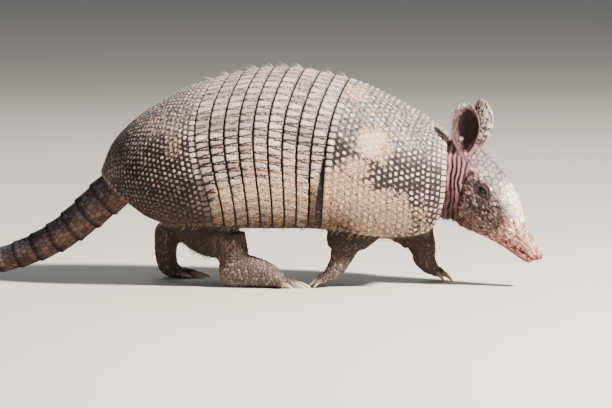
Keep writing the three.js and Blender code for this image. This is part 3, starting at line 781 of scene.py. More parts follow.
def edge_fall(base, depth=0.9, reach=1.1):
    """How far the surface rounds down towards all four edges of a plate."""
    down, across = lengths(base, 0), lengths(base, 1)
    away = np.minimum(np.minimum(down, down[-1] - down),
                      np.minimum(across, across[:, -1:] - across))
    return depth * (1 - np.sqrt(1 - (1 - np.clip(away / reach, 0, 1)) ** 2))


def shield(name, start, end, pitch, rim_rows, slope, border_last, finish, node):
    """One of the two shields, from start to end (functions of the angle) along the shell."""
    rows = len(spread(0, (end(np.zeros(1)) - start(np.zeros(1)))[0], SHIELD_ROW_STEP))
    share, angle = crossed(np.linspace(0, 1, rows), ANGLES)
    along = blend(start(angle), end(angle), share)
    base = shell_point(along, angle)
    seeds = scute_seeds(base[::-1] if border_last else base, pitch, rim_rows)
    marks = {**scute_relief(base, *seeds), **weathered(base, angle)}
    relief = marks.pop("height")
    caked = relief * 0.4 + 0.75 * rough(base, 1.6, 31, 2) - 0.1
    relief = blend(relief, caked, smooth(0.25, 0.8, marks["mud"]))
    depth = slope(share) + edge_fall(base) - relief + 0.15
    made = shell_plate(name, along, angle, depth, 5, marks)
    return dress(made, finish, "shell", node)


def pelvic_shield(finish):
    return shield(
        "pelvic_shell", lambda a: corner_inset(a, PELVIC_CORNER),
        lambda a: BANDS_FROM - GAP / 2 + a * 0, SCUTE_PELVIC, 2,
        lambda share: STEP_DOWN * smooth(0.8, 1, share), True, finish, "pelvic_shield")


def scapular_shield(finish):
    return shield(
        "scapular_shell", lambda a: BANDS_TO + GAP / 2 + a * 0,
        lambda a: SHELL_LENGTH - corner_inset(a, SHOULDER_CORNER), SCUTE_SCAPULAR, 4,
        lambda share: 0 * share, False, finish, "scapular_shield")


# --- the movable bands
def band(number, finish):
    """Band 1 is the one behind the shoulder shield. The rear lip stands over the next band,
    and the front strip is the thin skin that the band ahead slides over, painted as its shadow."""
    line = BANDS - number
    start, end = BAND_LINES[line] + GAP / 2, BAND_LINES[line + 1] - GAP / 2
    share, angle = crossed(np.linspace(0, 1, len(spread(start, end, SURFACE_STEP))), ANGLES)
    # Lower ends of the band are rounded off
    angle = angle * (1 - 0.05 * (1 - np.sqrt(np.clip(1 - ((share - 0.42) / 0.62) ** 2, 0, 1))))
    along = blend(start, end, share)
    base = shell_point(along, angle)
    across, run = lengths(base, 0), lengths(base, 1)
    width = across[-1]
    middle = len(ANGLES) // 2
    run = np.abs(run - run[:, middle:middle + 1])
    turn = np.abs(angle)
    gap = blend(1.1, 2.3, smooth(0.6, 1.9, turn)) * blend(0.75, 1.2, noise(base, 5, 6))
    if number == 1:
        gap = gap + 5.6 * smooth(1.25, 1.95, turn)
    # The sunken front strip under the lip of the band ahead; the finish paints it near-black as
    # shadow
    shaded_gap = smooth(width - gap - 0.5, width - gap + 0.5, across)
    # Bars: pale wedges with their broad end at the lip, and slim ones between them
    wave = BAR * blend(0.96, 1.04, noise(base, 40, 5))
    count = np.floor(run / wave)
    phase = np.abs(run / wave - count - 0.5)
    lot = scatter(stacked(count, count * 0 + number, np.sign(angle)), 17)
    taper = across / np.maximum(width - gap, 1)
    wander = (noise(base, 1.7, 18) - 0.5) * 0.12
    broad = blend(0.38, 0.22, taper) * blend(0.8, 1.12, lot) + wander
    wedge = smooth(broad + 0.04, broad - 0.08, phase) * smooth(1.0, 0.8, taper)
    slim = smooth(0.13, 0.03, 0.5 - phase + wander + 0.08 - 0.12 * taper)
    cut = bump(phase, broad + 0.05, 0.06)
    figure = np.clip(wedge + 0.6 * slim, 0, 1) * (1 - shaded_gap)
    marks = weathered(base, angle)
    marks["mud"] = marks["mud"] * (1 - shaded_gap)
    relief = 0.34 * np.maximum(wedge, 0.7 * slim) - 0.16 * cut
    cracks = smooth(0.12, 0.02, np.abs(rough(base * (0.25, 1, 1), 3.2, 19, 3) - 0.5))
    caked = relief * 0.35 + 0.1 + 0.36 * rough(base, 1.6, 32, 2) - 0.22 * cracks
    relief = blend(relief, caked, smooth(0.25, 0.8, marks["mud"]))
    groove = np.maximum(np.clip(np.maximum(cut, shaded_gap), 0, 1),
                        0.6 * cracks * smooth(0.3, 0.7, marks["mud"]))
    lip = 0.9 * (1 - np.sqrt(1 - (1 - np.clip(across / 0.9, 0, 1)) ** 2))
    sides = np.minimum(run[:, :1] - run, run[:, -1:] - run)
    end_round = 0.9 * (1 - smooth(0, 1.2, np.abs(sides)))
    depth = 0.3 * taper + 1.5 * shaded_gap + lip + end_round - relief * (1 - shaded_gap) + 0.15
    depth = depth + 0.25 * shaded_gap * rough(base, 1.2, 41, 2)
    # Band 1's low end: the wide bare skin strip, and painted shade over the rest of that end
    wide = np.maximum(shaded_gap, 0.85) * smooth(1.62, 1.85, turn) * (number == 1)
    marks |= {"figure": figure, "groove": groove, "flat": figure * 0 + 1, "lot": lot,
              "shaded_gap": shaded_gap, "wide": wide}
    made = shell_plate(f"band_{number}_shell", along, angle, depth, 3, marks)
    return dress(made, finish, "shell", f"band_{number}")


# --- the head's surface
def spin_y(turn):
    return np.array([[math.cos(turn), 0, math.sin(turn)], [0, 1, 0],
                     [-math.sin(turn), 0, math.cos(turn)]])


def spin_z(turn):
    return np.array([[math.cos(turn), -math.sin(turn), 0],
                     [math.sin(turn), math.cos(turn), 0], [0, 0, 1]])


HEAD_TURN = spin_z(HEAD_YAW) @ spin_y(HEAD_PITCH)
NOSE = np.array(HEAD_NOSE) + (FORWARD, 0, 0)


def from_head(points):
    return points @ HEAD_TURN.T + NOSE


def to_head(points):
    return (points - NOSE) @ HEAD_TURN


def head_point(back, angle, depth=0.0):
    """A point on the head in its own frame: +X out through the nose, +Z to the crown."""
    tx, tz, bx, bz, half_width = np.moveaxis(between(HEAD, HEAD[:, 0], back), -1, 0)
    half = np.hypot(tx - bx, tz - bz) / 2
    rise = (half - depth) * np.cos(angle) / (2 * half)
    return stacked(
        -((tx + bx) / 2 + (tx - bx) * rise),
        (half_width - depth) * np.sin(angle),
        (tz + bz) / 2 + (tz - bz) * rise,
    )


def plate_reach(back):
    """Angle from the midline to the head shield's edge."""
    ahead = (HEAD_PLATE_TO - back) / (HEAD_PLATE_TO - HEAD_PLATE_FROM)
    snout, nape = HEAD_PLATE_TAPER
    return HEAD_PLATE_ANGLE * (1 - snout * ahead**3 - nape * (1 - ahead) ** 3)


def head_seeds():
    """Middles of the head shield's scales in rows, smaller towards the nape."""
    rows, pitches = [], []
    back = HEAD_PLATE_FROM + 2.4
    while back < HEAD_PLATE_TO - 1.5:
        pitch = blend(6.6, 4.9, smooth(70, 104, back))
        turn = np.linspace(-1, 1, 200) * plate_reach(back)
        row = from_head(head_point(np.full(200, back), turn))
        run = lengths(row, 0)
        count = max(3, round((run[-1] - pitch * 0.2) / pitch) - len(rows) % 2)
        at = run[-1] / 2 + (np.arange(count) - (count - 1) / 2) * pitch
        rows.append(points_at(at, run, row))
        pitches.append(np.full(count, pitch))
        back += pitch * 0.86
    points, pitches = np.concatenate(rows), np.concatenate(pitches)
    shift = [scatter(np.round(points * 10) + (k, 0, 0), 61) - 0.5 for k in range(3)]
    points = points + np.stack(shift, -1) * pitches[:, None] * 0.42
    return spread_out(points, pitches, np.zeros(len(points), bool)), pitches


def head_shield(finish):
    step = 0.46 * FINE
    back, share = crossed(spread(HEAD_PLATE_FROM, HEAD_PLATE_TO, step),
                          spread(-1, 1, step / 24.5))
    angle = share * plate_reach(back)
    base = from_head(head_point(back, angle))
    seeds, pitches = head_seeds()
    near, (first, _), to_edge = cell_of(base, seeds)
    to_edge = to_edge + (rough(base, 1.5, 64, 2) - 0.5) * 0.35
    tablet = smooth(0.16, 0.75, to_edge)
    lot = lots(near, 3, 12)
    dome = 1 - (first / pitches[near]) ** 2
    relief = 0.5 * tablet + 0.28 * dome + 0.2 * lot + 0.12 * rough(base, 0.9, 65, 2)
    depth = edge_fall(base, 0.5, 1.0) + 0.55 - relief
    pick = np.linspace(0, len(back) - 1, 24).round().astype(int)
    inner = from_head(head_point(back[pick], angle[pick], HEAD_PLATE))
    marks = {"groove": smooth(0.58, 0.14, to_edge), "lot": lot,
             "nape": smooth(55, 78, back + (rough(base, 9, 66) - 0.5) * 22),
             "snout": smooth(50, 36, back),
             "rim": smooth(0.62, 0.95, np.abs(share) + (rough(base, 6, 67) - 0.5) * 0.3)}
    outer = from_head(head_point(back, angle, depth))
    made = closed_plate("head_scales", outer, inner, pick, marks)
    flip_inside_out(made)
    return dress(made, finish, "shell", "head_shield")


# --- tubes of flesh
def tube_faces(rows, columns, first=0):
    """Faces of a closed tube of rings, with a flat end at each side."""
    start = first + np.arange(rows - 1)[:, None] * columns
    corner = start + np.arange(columns)
    after = start + (np.arange(columns) + 1) % columns
    faces = stacked(corner, after, after + columns, corner + columns)
    last = first + (rows - 1) * columns
    ends = [list(range(first, first + columns))[::-1], list(range(last, last + columns))]
    return faces.reshape(-1, 4).tolist() + ends


def tube(joints, inset=0.0, rings=18, columns=40):
    """Rings through a smoothed row of joints, cut off flat at the floor."""
    joints = np.array(joints, float)
    knots = lengths(joints[:, :3], 0)
    rows = between(joints, knots, np.linspace(0, knots[-1], rings))
    centre = rows[:, :3] + (FORWARD, 0, 0)
    ahead = unit(np.gradient(centre, axis=0))
    side = unit(np.array([0.0, 1, 0]) - ahead * ahead[:, 1:2])
    front = np.cross(side, ahead)
    turn = round_turn(columns)[:, None]
    wide, deep = rows[:, 3] - inset, rows[:, 4] - inset
    points = np.stack([
        centre[i] + side[i] * wide[i] * np.sin(turn) + front[i] * deep[i] * np.cos(turn)
        for i in range(rings)
    ])
    points[..., 2] = np.maximum(points[..., 2], inset * 0.5)
    return points


def bent_cone(start, end, first_radius, last_radius, arch):
    """Joints of a toe or claw, humped upwards by its arch."""
    share = np.linspace(0, 1, 5)[:, None]
    centre = blend(np.array(start, float), np.array(end, float), share)
    centre[:, 2:] += arch * 4 * share * (1 - share)
    radius = blend(first_radius, last_radius, share)
    return np.hstack([centre, radius * TOE_SLIMNESS, radius])


def digits(leg):
    """Root and tip of each toe of a leg, and the point of its claw."""
    x, y, z = leg["toes_from"]
    slope = leg["claw_slope"]
    level = TOE_LEVEL[1] if slope else TOE_LEVEL[0]
    reach = slope * STEEP_CLAW_REACH if slope else 1
    splay = 1 if slope else CLAW_SPLAY
    return [((x, y + offset * TOE_ROOT_SPREAD, z), (toe_x, y + offset, level),
             (toe_x + reach * claw, y + offset * splay, CLAW_TIP_LEVEL))
            for toe_x, offset, claw in leg["toes"]]


RUMP_DOWN = unit(np.array([SHELL[0, 2] - SHELL[0, 0], 0, SHELL[0, 3] - SHELL[0, 1]]))
RUMP_OUT = np.array([RUMP_DOWN[2], 0, -RUMP_DOWN[0]])
TAIL_HOLE = TAIL_ROOT - 1
TAIL_START = (np.array([SHELL[0, 0] + FORWARD, 0, SHELL[0, 1]])
              + RUMP_DOWN * (PLATE + 2 * GAP + TAIL_HOLE))


def body_ring(along, depth, columns=120):
    """A closed ring round the body: the shell's surface at a depth, and the belly under it."""
    angle = np.linspace(-EDGE_ANGLE, EDGE_ANGLE, columns)
    upper = shell_point(np.full(columns, along), angle, depth)
    side = upper[-1]
    tx, tz, ex, ez = between(SHELL, SHELL_KNOTS, along)[:4]
    height = math.hypot(tx - ex, tz - ez)
    drop = BELLY_DROP + side[2] - shell_point(along, EDGE_ANGLE)[2]
    turn = np.linspace(0, np.pi, columns // 3)[1:-1]
    fall = drop * np.sin(turn)
    under = stacked(side[0] - (tx - ex) / height * fall, side[1] * np.cos(turn),
                    side[2] - (tz - ez) / height * fall)
    return np.concatenate([upper, under])


def trunk_rings():
    rear = body_ring(0, 0)
    turn = np.arctan2(rear[:, 1], -(rear - TAIL_START) @ RUMP_DOWN)[:, None]
    reach = TAIL_HOLE - 1
    tail_end = TAIL_START - RUMP_DOWN * reach * np.cos(turn) + [0, reach, 0] * np.sin(turn)
    front = body_ring(SHELL_LENGTH, 0)
    x, z, half_width, half_height = NECK_HOLE
    turn = np.arctan2(front[:, 1] / half_width, (front[:, 2] - front[:, 2].mean()) / half_height)
    neck_end = stacked(turn * 0 + x + FORWARD, (half_width - 1.2) * np.sin(turn),
                       z + (half_height - 1.2) * np.cos(turn))
    rings = [tail_end]
    for along in np.linspace(5, SHELL_LENGTH - 18, 70):
        ahead = max(0, (along - BANDS_TO) / (SHELL_LENGTH - BANDS_TO))
        rings.append(body_ring(along, PLATE + blend(*TRUNK_CLEARANCE, ahead)))
    rings += [blend(rings[-1], neck_end, share) for share in (0.35, 0.7, 1)]
    return np.array(rings)


def neck_rings():
    turn = round_turn(64)
    x, z, half_width, half_height = NECK_HOLE
    back = HEAD[-1, 0]

    def hole(at, inset):
        return stacked(turn * 0 + at + FORWARD, (half_width - inset) * np.sin(turn),
                       z + (half_height - inset) * np.cos(turn))

    skull = from_head(head_point(np.full(64, back), turn, COAT))
    within = from_head(head_point(np.full(64, back - 12), turn, 3))
    start = hole(x, 1.2)
    rings = [hole(x - 10, 4)]
    for share in np.linspace(0, 1, 14):
        full = 1.4 * 4 * share * (1 - share)
        ring = blend(start, skull, share)
        outward = ring - ring.mean(0)
        outward[:, 0] = 0
        rings.append(ring + unit(outward) * full)
    return np.array(rings + [within])


def head_rings():
    turn = round_turn(72)
    rings = []
    for back in np.concatenate([[0.25, 0.5, 0.9, 1.5, 2.3, 3.2], np.arange(4.5, 128, 2)]):
        curl = 3.2 * (1 - math.sqrt(1 - max(0, 1 - back / 3.3) ** 2))
        rings.append(from_head(head_point(np.full(72, back), turn, COAT + curl)))
    return np.array(rings)


FLESH = ("trunk", "neck", "head", "upper", "lower", "foot")


def flesh_tubes():
    """Every tube of flesh, as [kind, name, rings]."""
    tubes = [("trunk", "trunk", trunk_rings()), ("neck", "neck", neck_rings()),
             ("head", "head", head_rings())]
    for name, leg in LEGS.items():
        tubes.append(("upper", name, tube(leg["upper"], 0.7)))
        tubes.append(("lower", name, tube(leg["lower"], 0.5)))
        tubes.append(("foot", name, tube(leg["foot"], 0.4)))
        for root, tip, _ in digits(leg):
            joints = bent_cone(root, tip, *TOE_RADII, 0.6)
            tubes.append(("foot", name, tube(joints, 0.2, 12, 20)))
    return tubes


def relaxed(points, pairs, rounds, share=0.6):
    """Points moved towards the mean of their neighbours."""
    count = np.bincount(pairs.ravel(), minlength=len(points))[:, None]
    for _ in range(rounds):
        total = np.zeros_like(points)
        for k in range(3):
            total[:, k] = (np.bincount(pairs[:, 0], points[pairs[:, 1], k], len(points))
                           + np.bincount(pairs[:, 1], points[pairs[:, 0], k], len(points)))
        points = blend(points, total / np.maximum(count, 1), share)
    return points


def applied(piece, name):
    """The mesh that a piece's modifiers make, with the piece left without them."""
    graph = bpy.context.evaluated_depsgraph_get()
    mesh = bpy.data.meshes.new_from_object(piece.evaluated_get(graph))
    mesh.name = name
    piece.modifiers.clear()
    return mesh


def under_shell(points):
    """Points moved in wherever they stand in the shell's plates or outside them."""
    along, angle = crossed(np.linspace(2, SHELL_LENGTH - 2, 90),
                           np.linspace(-EDGE_ANGLE, EDGE_ANGLE, 110))
    inside = shell_point(along, angle, PLATE + 1.0)
    outward = unit(np.cross(np.gradient(inside, axis=1), np.gradient(inside, axis=0)))
    outward *= np.sign((outward * (inside - inside.mean((0, 1)))).sum(-1, keepdims=True))
    border = np.ones(along.shape, bool)
    border[1:-1, 1:-1] = False
    inside, outward, border = inside.reshape(-1, 3), outward.reshape(-1, 3), border.ravel()
    tree = tree_of(inside)
    moved = points.copy()
    for index in np.flatnonzero(points[:, 2] > SHELL_LOWEST):
        _, hit, _ = tree.find(points[index])
        above = (points[index] - inside[hit]) @ outward[hit]
        if above > 0 and not border[hit]:
            moved[index] -= outward[hit] * above
    return moved


def remeshed_flesh(tubes):
    """One closed mesh over all tubes, finest on the head and feet."""
    points, faces = [], []
    first = 0
    for _, _, rings in tubes:
        points.append(rings.reshape(-1, 3))
        faces += tube_faces(*rings.shape[:2], first)
        first += rings.shape[0] * rings.shape[1]
    rough_piece = new_mesh("flesh", np.concatenate(points), faces)
    remesh = rough_piece.modifiers.new("skin", "REMESH")
    remesh.mode = "VOXEL"
    remesh.voxel_size = SKIN_STEP * MM
    rough_piece.data = applied(rough_piece, "skin")
    mesh = rough_piece.data
    pairs = read(mesh.edges, "vertices", 2, np.int32)
    smoothed = relaxed(vertices_of(mesh), pairs, SKIN_ROUNDS)
    place_vertices(mesh, under_shell(smoothed))
    hidden = hidden_share(vertices_of(mesh))
    group = rough_piece.vertex_groups.new(name="hidden")
    for level in np.unique(hidden):
        group.add(np.flatnonzero(hidden == level).tolist(), float(level), "REPLACE")
    thin = rough_piece.modifiers.new("thin", "DECIMATE")
    thin.ratio = min(1, SKIN_TRIANGLES / 2 / len(mesh.polygons))
    thin.vertex_group = "hidden"
    rough_piece.data = applied(rough_piece, "skin")
    rough_piece.vertex_groups.clear()
    return rough_piece


def hidden_share(points):
    """How freely the skin may be thinned out, in steps: most under the shell."""
    x, _, z = parts(points)
    ahead = to_head(points)[:, 0]
    share = np.where((z < 48) | (x > 112), 0.3, 0.97)
    share = np.where((z > 49) & (z < 60) & (x < 112), 0.8, share)
    share = np.where((ahead > -112) & (x > 118), 0.05, share)
    return np.where(z < 22, 0.15, share).round(2)


# --- the skin's detail
def kinds_at(points, tubes):
    """How much each point of the skin belongs to each kind of flesh."""
    away = []
    for kind in FLESH:
        rings = [r[:: 2 if kind == "head" else 1].reshape(-1, 3) for k, _, r in tubes if k == kind]
        tree = tree_of(np.concatenate(rings))
        away.append([tree.find(point)[2] for point in points])
    away = np.array(away).T
    weight = np.exp((away.min(1, keepdims=True) - away) / 1.6)
    return dict(zip(FLESH, (weight / weight.sum(1, keepdims=True)).T))


def head_places(local, chosen):
    """Distance behind the nose and angle of the chosen points, by the head's own surface."""
    backs, turns = crossed(np.arange(0, 126, 0.8), np.linspace(-np.pi, np.pi, 180))
    distance, index = nearest(local[chosen], head_point(backs, turns).reshape(-1, 3), 4)
    weight = 1 / (distance + 0.15)
    weight /= weight.sum(1, keepdims=True)
    back, angle = -local[:, 0], np.zeros(len(local))
    turned = turns.ravel()[index]
    back[chosen] = (backs.ravel()[index] * weight).sum(1)
    angle[chosen] = np.arctan2((np.sin(turned) * weight).sum(1), (np.cos(turned) * weight).sum(1))
    return back, angle


def folds(phase, sharp=0.6):
    """Rounded ridges with narrow valleys, one for each whole step of the phase."""
    return np.abs(np.sin(np.pi * phase)) ** sharp


EYE_SIDES = {"left": 1, "right": -1}


def eye_frame(side):
    """Middle of an eye in the head's frame, with the directions out, ahead and up there."""
    middle = np.array([-EYE_AT[0], side * EYE_AT[1], EYE_AT[2]])
    turn = side * np.linspace(0.9, 2.2, 260)
    rows = head_point(np.full(260, EYE_AT[0]), turn)
    best = turn[np.argmin(np.abs(rows[:, 2] - EYE_AT[2]))]
    step = 0.01
    ahead = unit(head_point(EYE_AT[0] - 1, best) - head_point(EYE_AT[0] + 1, best))
    up = unit(head_point(EYE_AT[0], best - side * step) - head_point(EYE_AT[0], best + side * step))
    out = unit(np.cross(ahead, up)) * side
    out = out * np.sign(out[1] * side)
    up = unit(np.cross(out, ahead))
    up = up * np.sign(up[2])
    return middle, out, ahead, up


def skin_relief(points, share, local, back, angle):
    """Height of the skin's folds at each point, and how deep in a fold it lies, which the colour
    paints as shade.
    """
    ahead = points[:, 0] - FORWARD + 0.12 * (95 - points[:, 2])
    neck_fold = folds(ahead / 3.9 + rough(points, 13, 71) * 1.7, 0.7)
    wander = noise(points, 6, 72)
    height = share["neck"] * (neck_fold - 0.7) * blend(1.1, 2.0, wander)
    fold_shade = share["neck"] * (1 - neck_fold) * 1.7
    jaw_line = bump(back, 103 + (noise(points, 9, 79) - 0.5) * 5, 2.4)
    jaw_line = jaw_line * smooth(0.9, 1.3, np.abs(angle))
    height -= jaw_line * 0.8
    fold_shade = np.maximum(fold_shade, jaw_line)
    across = folds(points[:, 2] / 3.1 + rough(points, 11, 73) * 2.4, 0.8)
    limb = share["upper"] + share["lower"]
    height += limb * (across - 0.6) * 0.45 * wander
    fold_shade += limb * (1 - across) * 0.5
    under = folds(points[:, 0] / 3.4 + rough(points, 13, 74) * 2.0, 0.8)
    height += share["trunk"] * (under - 0.6) * 0.5 * wander
    fold_shade += share["trunk"] * (1 - under) * 0.6
    height += share["foot"] * (rough(points, 2.6, 75, 2) - 0.5) * 0.7
    snout = share["head"] * smooth(52, 30, back)
    long_fold = folds(rough(local * (0.2, 1, 1), 3.4, 76, 3) * 5.5, 0.8)
    ring_fold = folds(back / 3.0 + rough(local, 9, 77) * 1.6, 0.9)
    height += snout * (long_fold - 0.6) * 0.55
    height += snout * smooth(14, 26, back) * (ring_fold - 0.6) * 0.3
    fold_shade += snout * np.maximum((1 - long_fold) * 1.7, (1 - ring_fold) * 0.7 * smooth(12, 24, back))
    # Wrinkles run along the jaw and turn down towards the throat behind the eye
    cheek = share["head"] * smooth(36, 52, back) * smooth(0.7, 1.1, np.abs(angle))
    jaw_fold = folds(rough(local * (0.25, 1, 1), 4.6, 78, 3) * 7, 0.9)
    round_head = stacked(back, angle * 7, 0 * back)
    jowl_fold = folds(rough(round_head, 4.2, 80, 3) * 6, 0.9)
    cheek_fold = blend(jaw_fold, jowl_fold, smooth(68, 82, back))
    height += cheek * (cheek_fold - 0.6) * 0.85
    fold_shade += cheek * (1 - cheek_fold) * 1.3
    return height, np.clip(fold_shade, 0, 1)


def shaped_head(local, share, back, angle):
    """The head's points with the shield's bed, mouth, nostrils and eye sockets pressed in,
    and how far each point lies in the mouth or a nostril."""
    local = local.copy()
    head = share["head"] > 0.3
    turn = np.abs(angle)
    arc = (plate_reach(back) - turn) * HEAD_ARC
    bed = (smooth(0.1, 1.1, arc) * smooth(HEAD_PLATE_FROM - 0.7, HEAD_PLATE_FROM + 0.5, back)
           * smooth(HEAD_PLATE_TO + 0.7, HEAD_PLATE_TO - 0.5, back) * head)
    inward = unit(stacked(local[:, 0] * 0, -local[:, 1], -(local[:, 2] + 4)))
    local += inward * (bed * SHIELD_BED)[:, None]
    lip_line = -5.4 - 0.22 * np.maximum(back, 0)
    from_lips = local[:, 2] - lip_line
    mouth = bump(from_lips, 0, 1.2) * smooth(27, 23, back) * head
    local += inward * (mouth * 1.1)[:, None]
    local[:, 0] += np.where(back < 3, -mouth * 0.8, 0)
    chin = smooth(0, -2, from_lips) * smooth(9, 0, back) * head
    local[:, 0] -= chin * 2.2
    lips = bump(from_lips, 0, 2.6) * smooth(27, 21, back) * head
    local -= inward * ((lips - mouth) * 0.35)[:, None]
    nostril = np.zeros(len(local))
    for side in EYE_SIDES.values():
        away = np.hypot((local[:, 1] - side * 3.0) / 1.5, (local[:, 2] + 1.9) / 1.2)
        nostril += smooth(1.25, 0.5, away) * (back < 3.2) * head
        middle, out, ahead, up = eye_frame(side)
        offset = local - middle
        over = offset @ out
        ring = np.hypot(offset @ ahead, offset @ up)
        socket = smooth(6.2, 4.6, ring) * (over > 0) * head
        floor = np.minimum(over, SOCKET_LEVEL)
        local += np.outer((floor - over) * socket, out)
        puffed = bump(ring, 6.6, 2.6) * (over > -3) * head
        local += np.outer(puffed * 0.35, out)
    local[:, 0] -= nostril * NOSTRIL_DEPTH
    return local, np.clip(mouth + nostril, 0, 1)


def colour_of(text):
    return np.array(hue(text))


def layered(colours, *layers):
    """Colours moved in turn towards others, each by its share at each point."""
    for share, other in layers:
        colours = colours + (colour_of(other) - colours) * np.clip(share, 0, 1).reshape(-1, 1)
    return colours


# The thighs' dark tone is partly their dark hair, partly painted shade under the shell
TONES = {"trunk": "40302b", "neck": "a87a7d", "head": "5f4b47", "upper": "2e211d",
         "lower": "453630", "foot": "5c4b46"}


def skin_tone(points, share, local, back, angle, fold_shade, pits):
    """Colour of the skin at each point, from its kind of flesh and its place on it."""
    head, turn = share["head"], np.abs(angle)
    plate_edge = np.abs(turn - plate_reach(np.clip(back, HEAD_PLATE_FROM, HEAD_PLATE_TO))) * HEAD_ARC
    near_plate = smooth(7, 1, plate_edge) * smooth(112, 100, back)
    # Painted shade on the neck below the head
    low = smooth(96, 60, points[:, 2]) * smooth(0, -8, local[:, 2] + 12)
    # Painted shade on the far legs, under the body
    far_leg_shade = smooth(4, 12, points[:, 1]) * (share["upper"] + share["lower"])
    red = head * smooth(55, 36, back)
    tone = layered(
        sum(np.outer(share[kind], colour_of(text)) for kind, text in TONES.items()),
        (head * smooth(1.7, 2.3, turn), "8a6a62"),
        # the jowl under the jaw: partly its own dark skin, partly painted shade
        (head * smooth(60, 80, back) * smooth(1.9, 2.5, turn), "4a332e"),
        (head * near_plate * blend(0.5, 1, rough(points, 3, 83, 2)), "a8918b"),
        (head * smooth(50, 30, back) * smooth(2.7, 1.9, turn), "efbcac"),
        (head * smooth(9, 2, back), "dc9a8f"),
        # painted shade on the lower neck
        (share["neck"] * low, "5a413b"))
    for side in EYE_SIDES.values():
        middle, out, _, _ = eye_frame(side)
        away = np.linalg.norm((local - middle - out * 2) * (0.62, 1, 1.15), axis=1)
        tone = layered(tone, (smooth(8.2, 4.6, away) * 0.9, "1f1213"))
    # painted shade on the far legs
    tone = layered(tone, (far_leg_shade * 0.6, "4a3732"))
    tone = tone * blend(0.82, 1.16, rough(points, 7, 81, 3))[:, None]
    # painted shade in the folds' valleys: dark red on the snout, near-black elsewhere
    return layered(tone, (fold_shade * red, "6a211b"), (fold_shade * (1 - red) * 0.95, "0f0505"),
                   (pits * 0.9, "54211f"))


def with_alpha(colours):
    return np.hstack([np.clip(colours, 0, 1), np.ones((len(colours), 1))])


# --- ears and eyelids
def ear_width(along):
    tall = (along - EAR_WIDEST) / (1 - EAR_WIDEST)
    low = blend(EAR_STALK, 1, np.sin(np.pi / 2 * np.minimum(along / EAR_WIDEST, 1)))
    return np.where(along < EAR_WIDEST, low, np.sqrt(np.maximum(1 - 0.97 * tall**2, 0)))


def ear_surface(side, v, w, inset):
    """A point of an ear in the head's frame: v runs from root to tip, w from edge to edge,
    and inset goes in from the back of the ear to the inside of its cup."""
    axis = np.array([-math.sin(EAR_BACK_TILT) * math.cos(EAR_SPLAY), side * math.sin(EAR_SPLAY),
                     math.cos(EAR_BACK_TILT) * math.cos(EAR_SPLAY)])
    facing = np.array([math.sin(EAR_FACING), side * math.cos(EAR_FACING), 0])
    facing = unit(facing - axis * (facing @ axis))
    across = np.cross(axis, facing)
    root = np.array([-EAR_ROOT[0], side * EAR_ROOT[1], EAR_ROOT[2]])
    wide = ear_width(v)
    turn = w * blend(*EAR_CURL, v) * DEG
    run = EAR_LENGTH * v - inset * v**8
    sideways = (EAR_HALF_WIDTH * wide - inset / 2) * np.sin(turn)
    hollow = (EAR_DEPTH * wide - inset / 2) * (1 - np.cos(turn)) + inset - EAR_DEPTH / 2
    return (root + run[..., None] * axis + sideways[..., None] * across
            + hollow[..., None] * facing)


def ear(side):
    """Points, faces and colours of one ear."""
    v, w = crossed(spread(-0.06, 1, 0.02 * FINE), spread(-1, 1, 0.03 * FINE))
    along, turn = np.clip(v, 0, 1), np.abs(w)
    rim = np.sqrt(np.clip(1 - turn**12, 0, 1) * np.clip(1 - along**26, 0, 1))
    middle = EAR_THICK / 2 + 0.05
    half = (EAR_THICK / 2 - COAT) * rim
    flat = ear_surface(side, v, w, middle + v * 0)
    pebble = rough(flat, 2.1, 91, 2) - 0.5
    ribs = (folds(w * 4.5 + rough(flat, 12, 92) * 1.5, 0.9) - 0.5) * smooth(1, 0.6, turn)
    back = from_head(ear_surface(side, v, w, middle - half - pebble * 0.8 * rim))
    inside = from_head(ear_surface(side, v, w, middle + half + ribs * 0.35 * rim))
    rows, columns = v.shape
    below, top = rows * columns, (rows - 1) * columns
    faces = grid_faces(rows, columns) + grid_faces(rows, columns, below, flip=True)
    for j in range(columns - 1):
        faces.append([j + 1, j, below + j, below + j + 1])
        faces.append([top + j, top + j + 1, below + top + j + 1, below + top + j])
    for i in range(0, below - columns, columns):
        faces.append([i, i + columns, below + i + columns, below + i])
        k = i + columns - 1
        faces.append([k + columns, k, below + k, below + k + columns])
    forward = inside[..., 0] - inside[..., 0].min(1, keepdims=True)
    forward = forward / forward.max(1, keepdims=True)
    oval = np.hypot((forward - 0.6) / blend(0.22, 0.4, smooth(0, 0.4, along)),
                    (along - 0.47) / 0.46)
    edge = smooth(0.84, 1.08, oval + (rough(flat, 3, 94, 2) - 0.5) * 0.3)
    cup = layered(
        colour_of("1c0705"),
        (smooth(0.45, 0.85, forward) * 0.8, "2c110d"),
        (bump(forward, 0.42, 0.3) * smooth(0.9, 0.5, along), "120504"),
        (edge * 0.9, "74595a"),
        (edge * smooth(0.5, 0.4, rough(flat, 1.6, 96, 2)) * 0.9, "3d2a2b"))
    near_rim = np.maximum(smooth(0.72, 0.98, turn), smooth(0.84, 0.97, along))
    rims = near_rim * smooth(0.3, 0.62, rough(flat, 1.8, 93, 2))
    nub = smooth(1.3, 0.6, np.hypot((forward - 0.34) / 0.09, (along - 0.27) / 0.035))
    tip = smooth(0.93, 0.985, along) * smooth(0.45, 0.2, turn)
    cup = layered(cup * blend(0.7, 1.25, rough(flat, 2.4, 95, 3)).reshape(-1, 1),
                  (rims, "b99c93"), (nub, "d3aca2"), (tip, "e3cabf"))
    outer = layered(
        colour_of("bca69d"),
        ((1 - smooth(0.46, 0.54, rough(flat, 1.5, 91, 2))) * 0.95, "33282b"),
        (smooth(0.3, 0.0, along) * 0.7, "6e5450"),
        (rims * 0.6, "cdb0a6"),
        (tip, "e3cabf"))
    return (np.concatenate([back.reshape(-1, 3), inside.reshape(-1, 3)]), faces,
            np.concatenate([outer, cup]), np.zeros(2 * below))


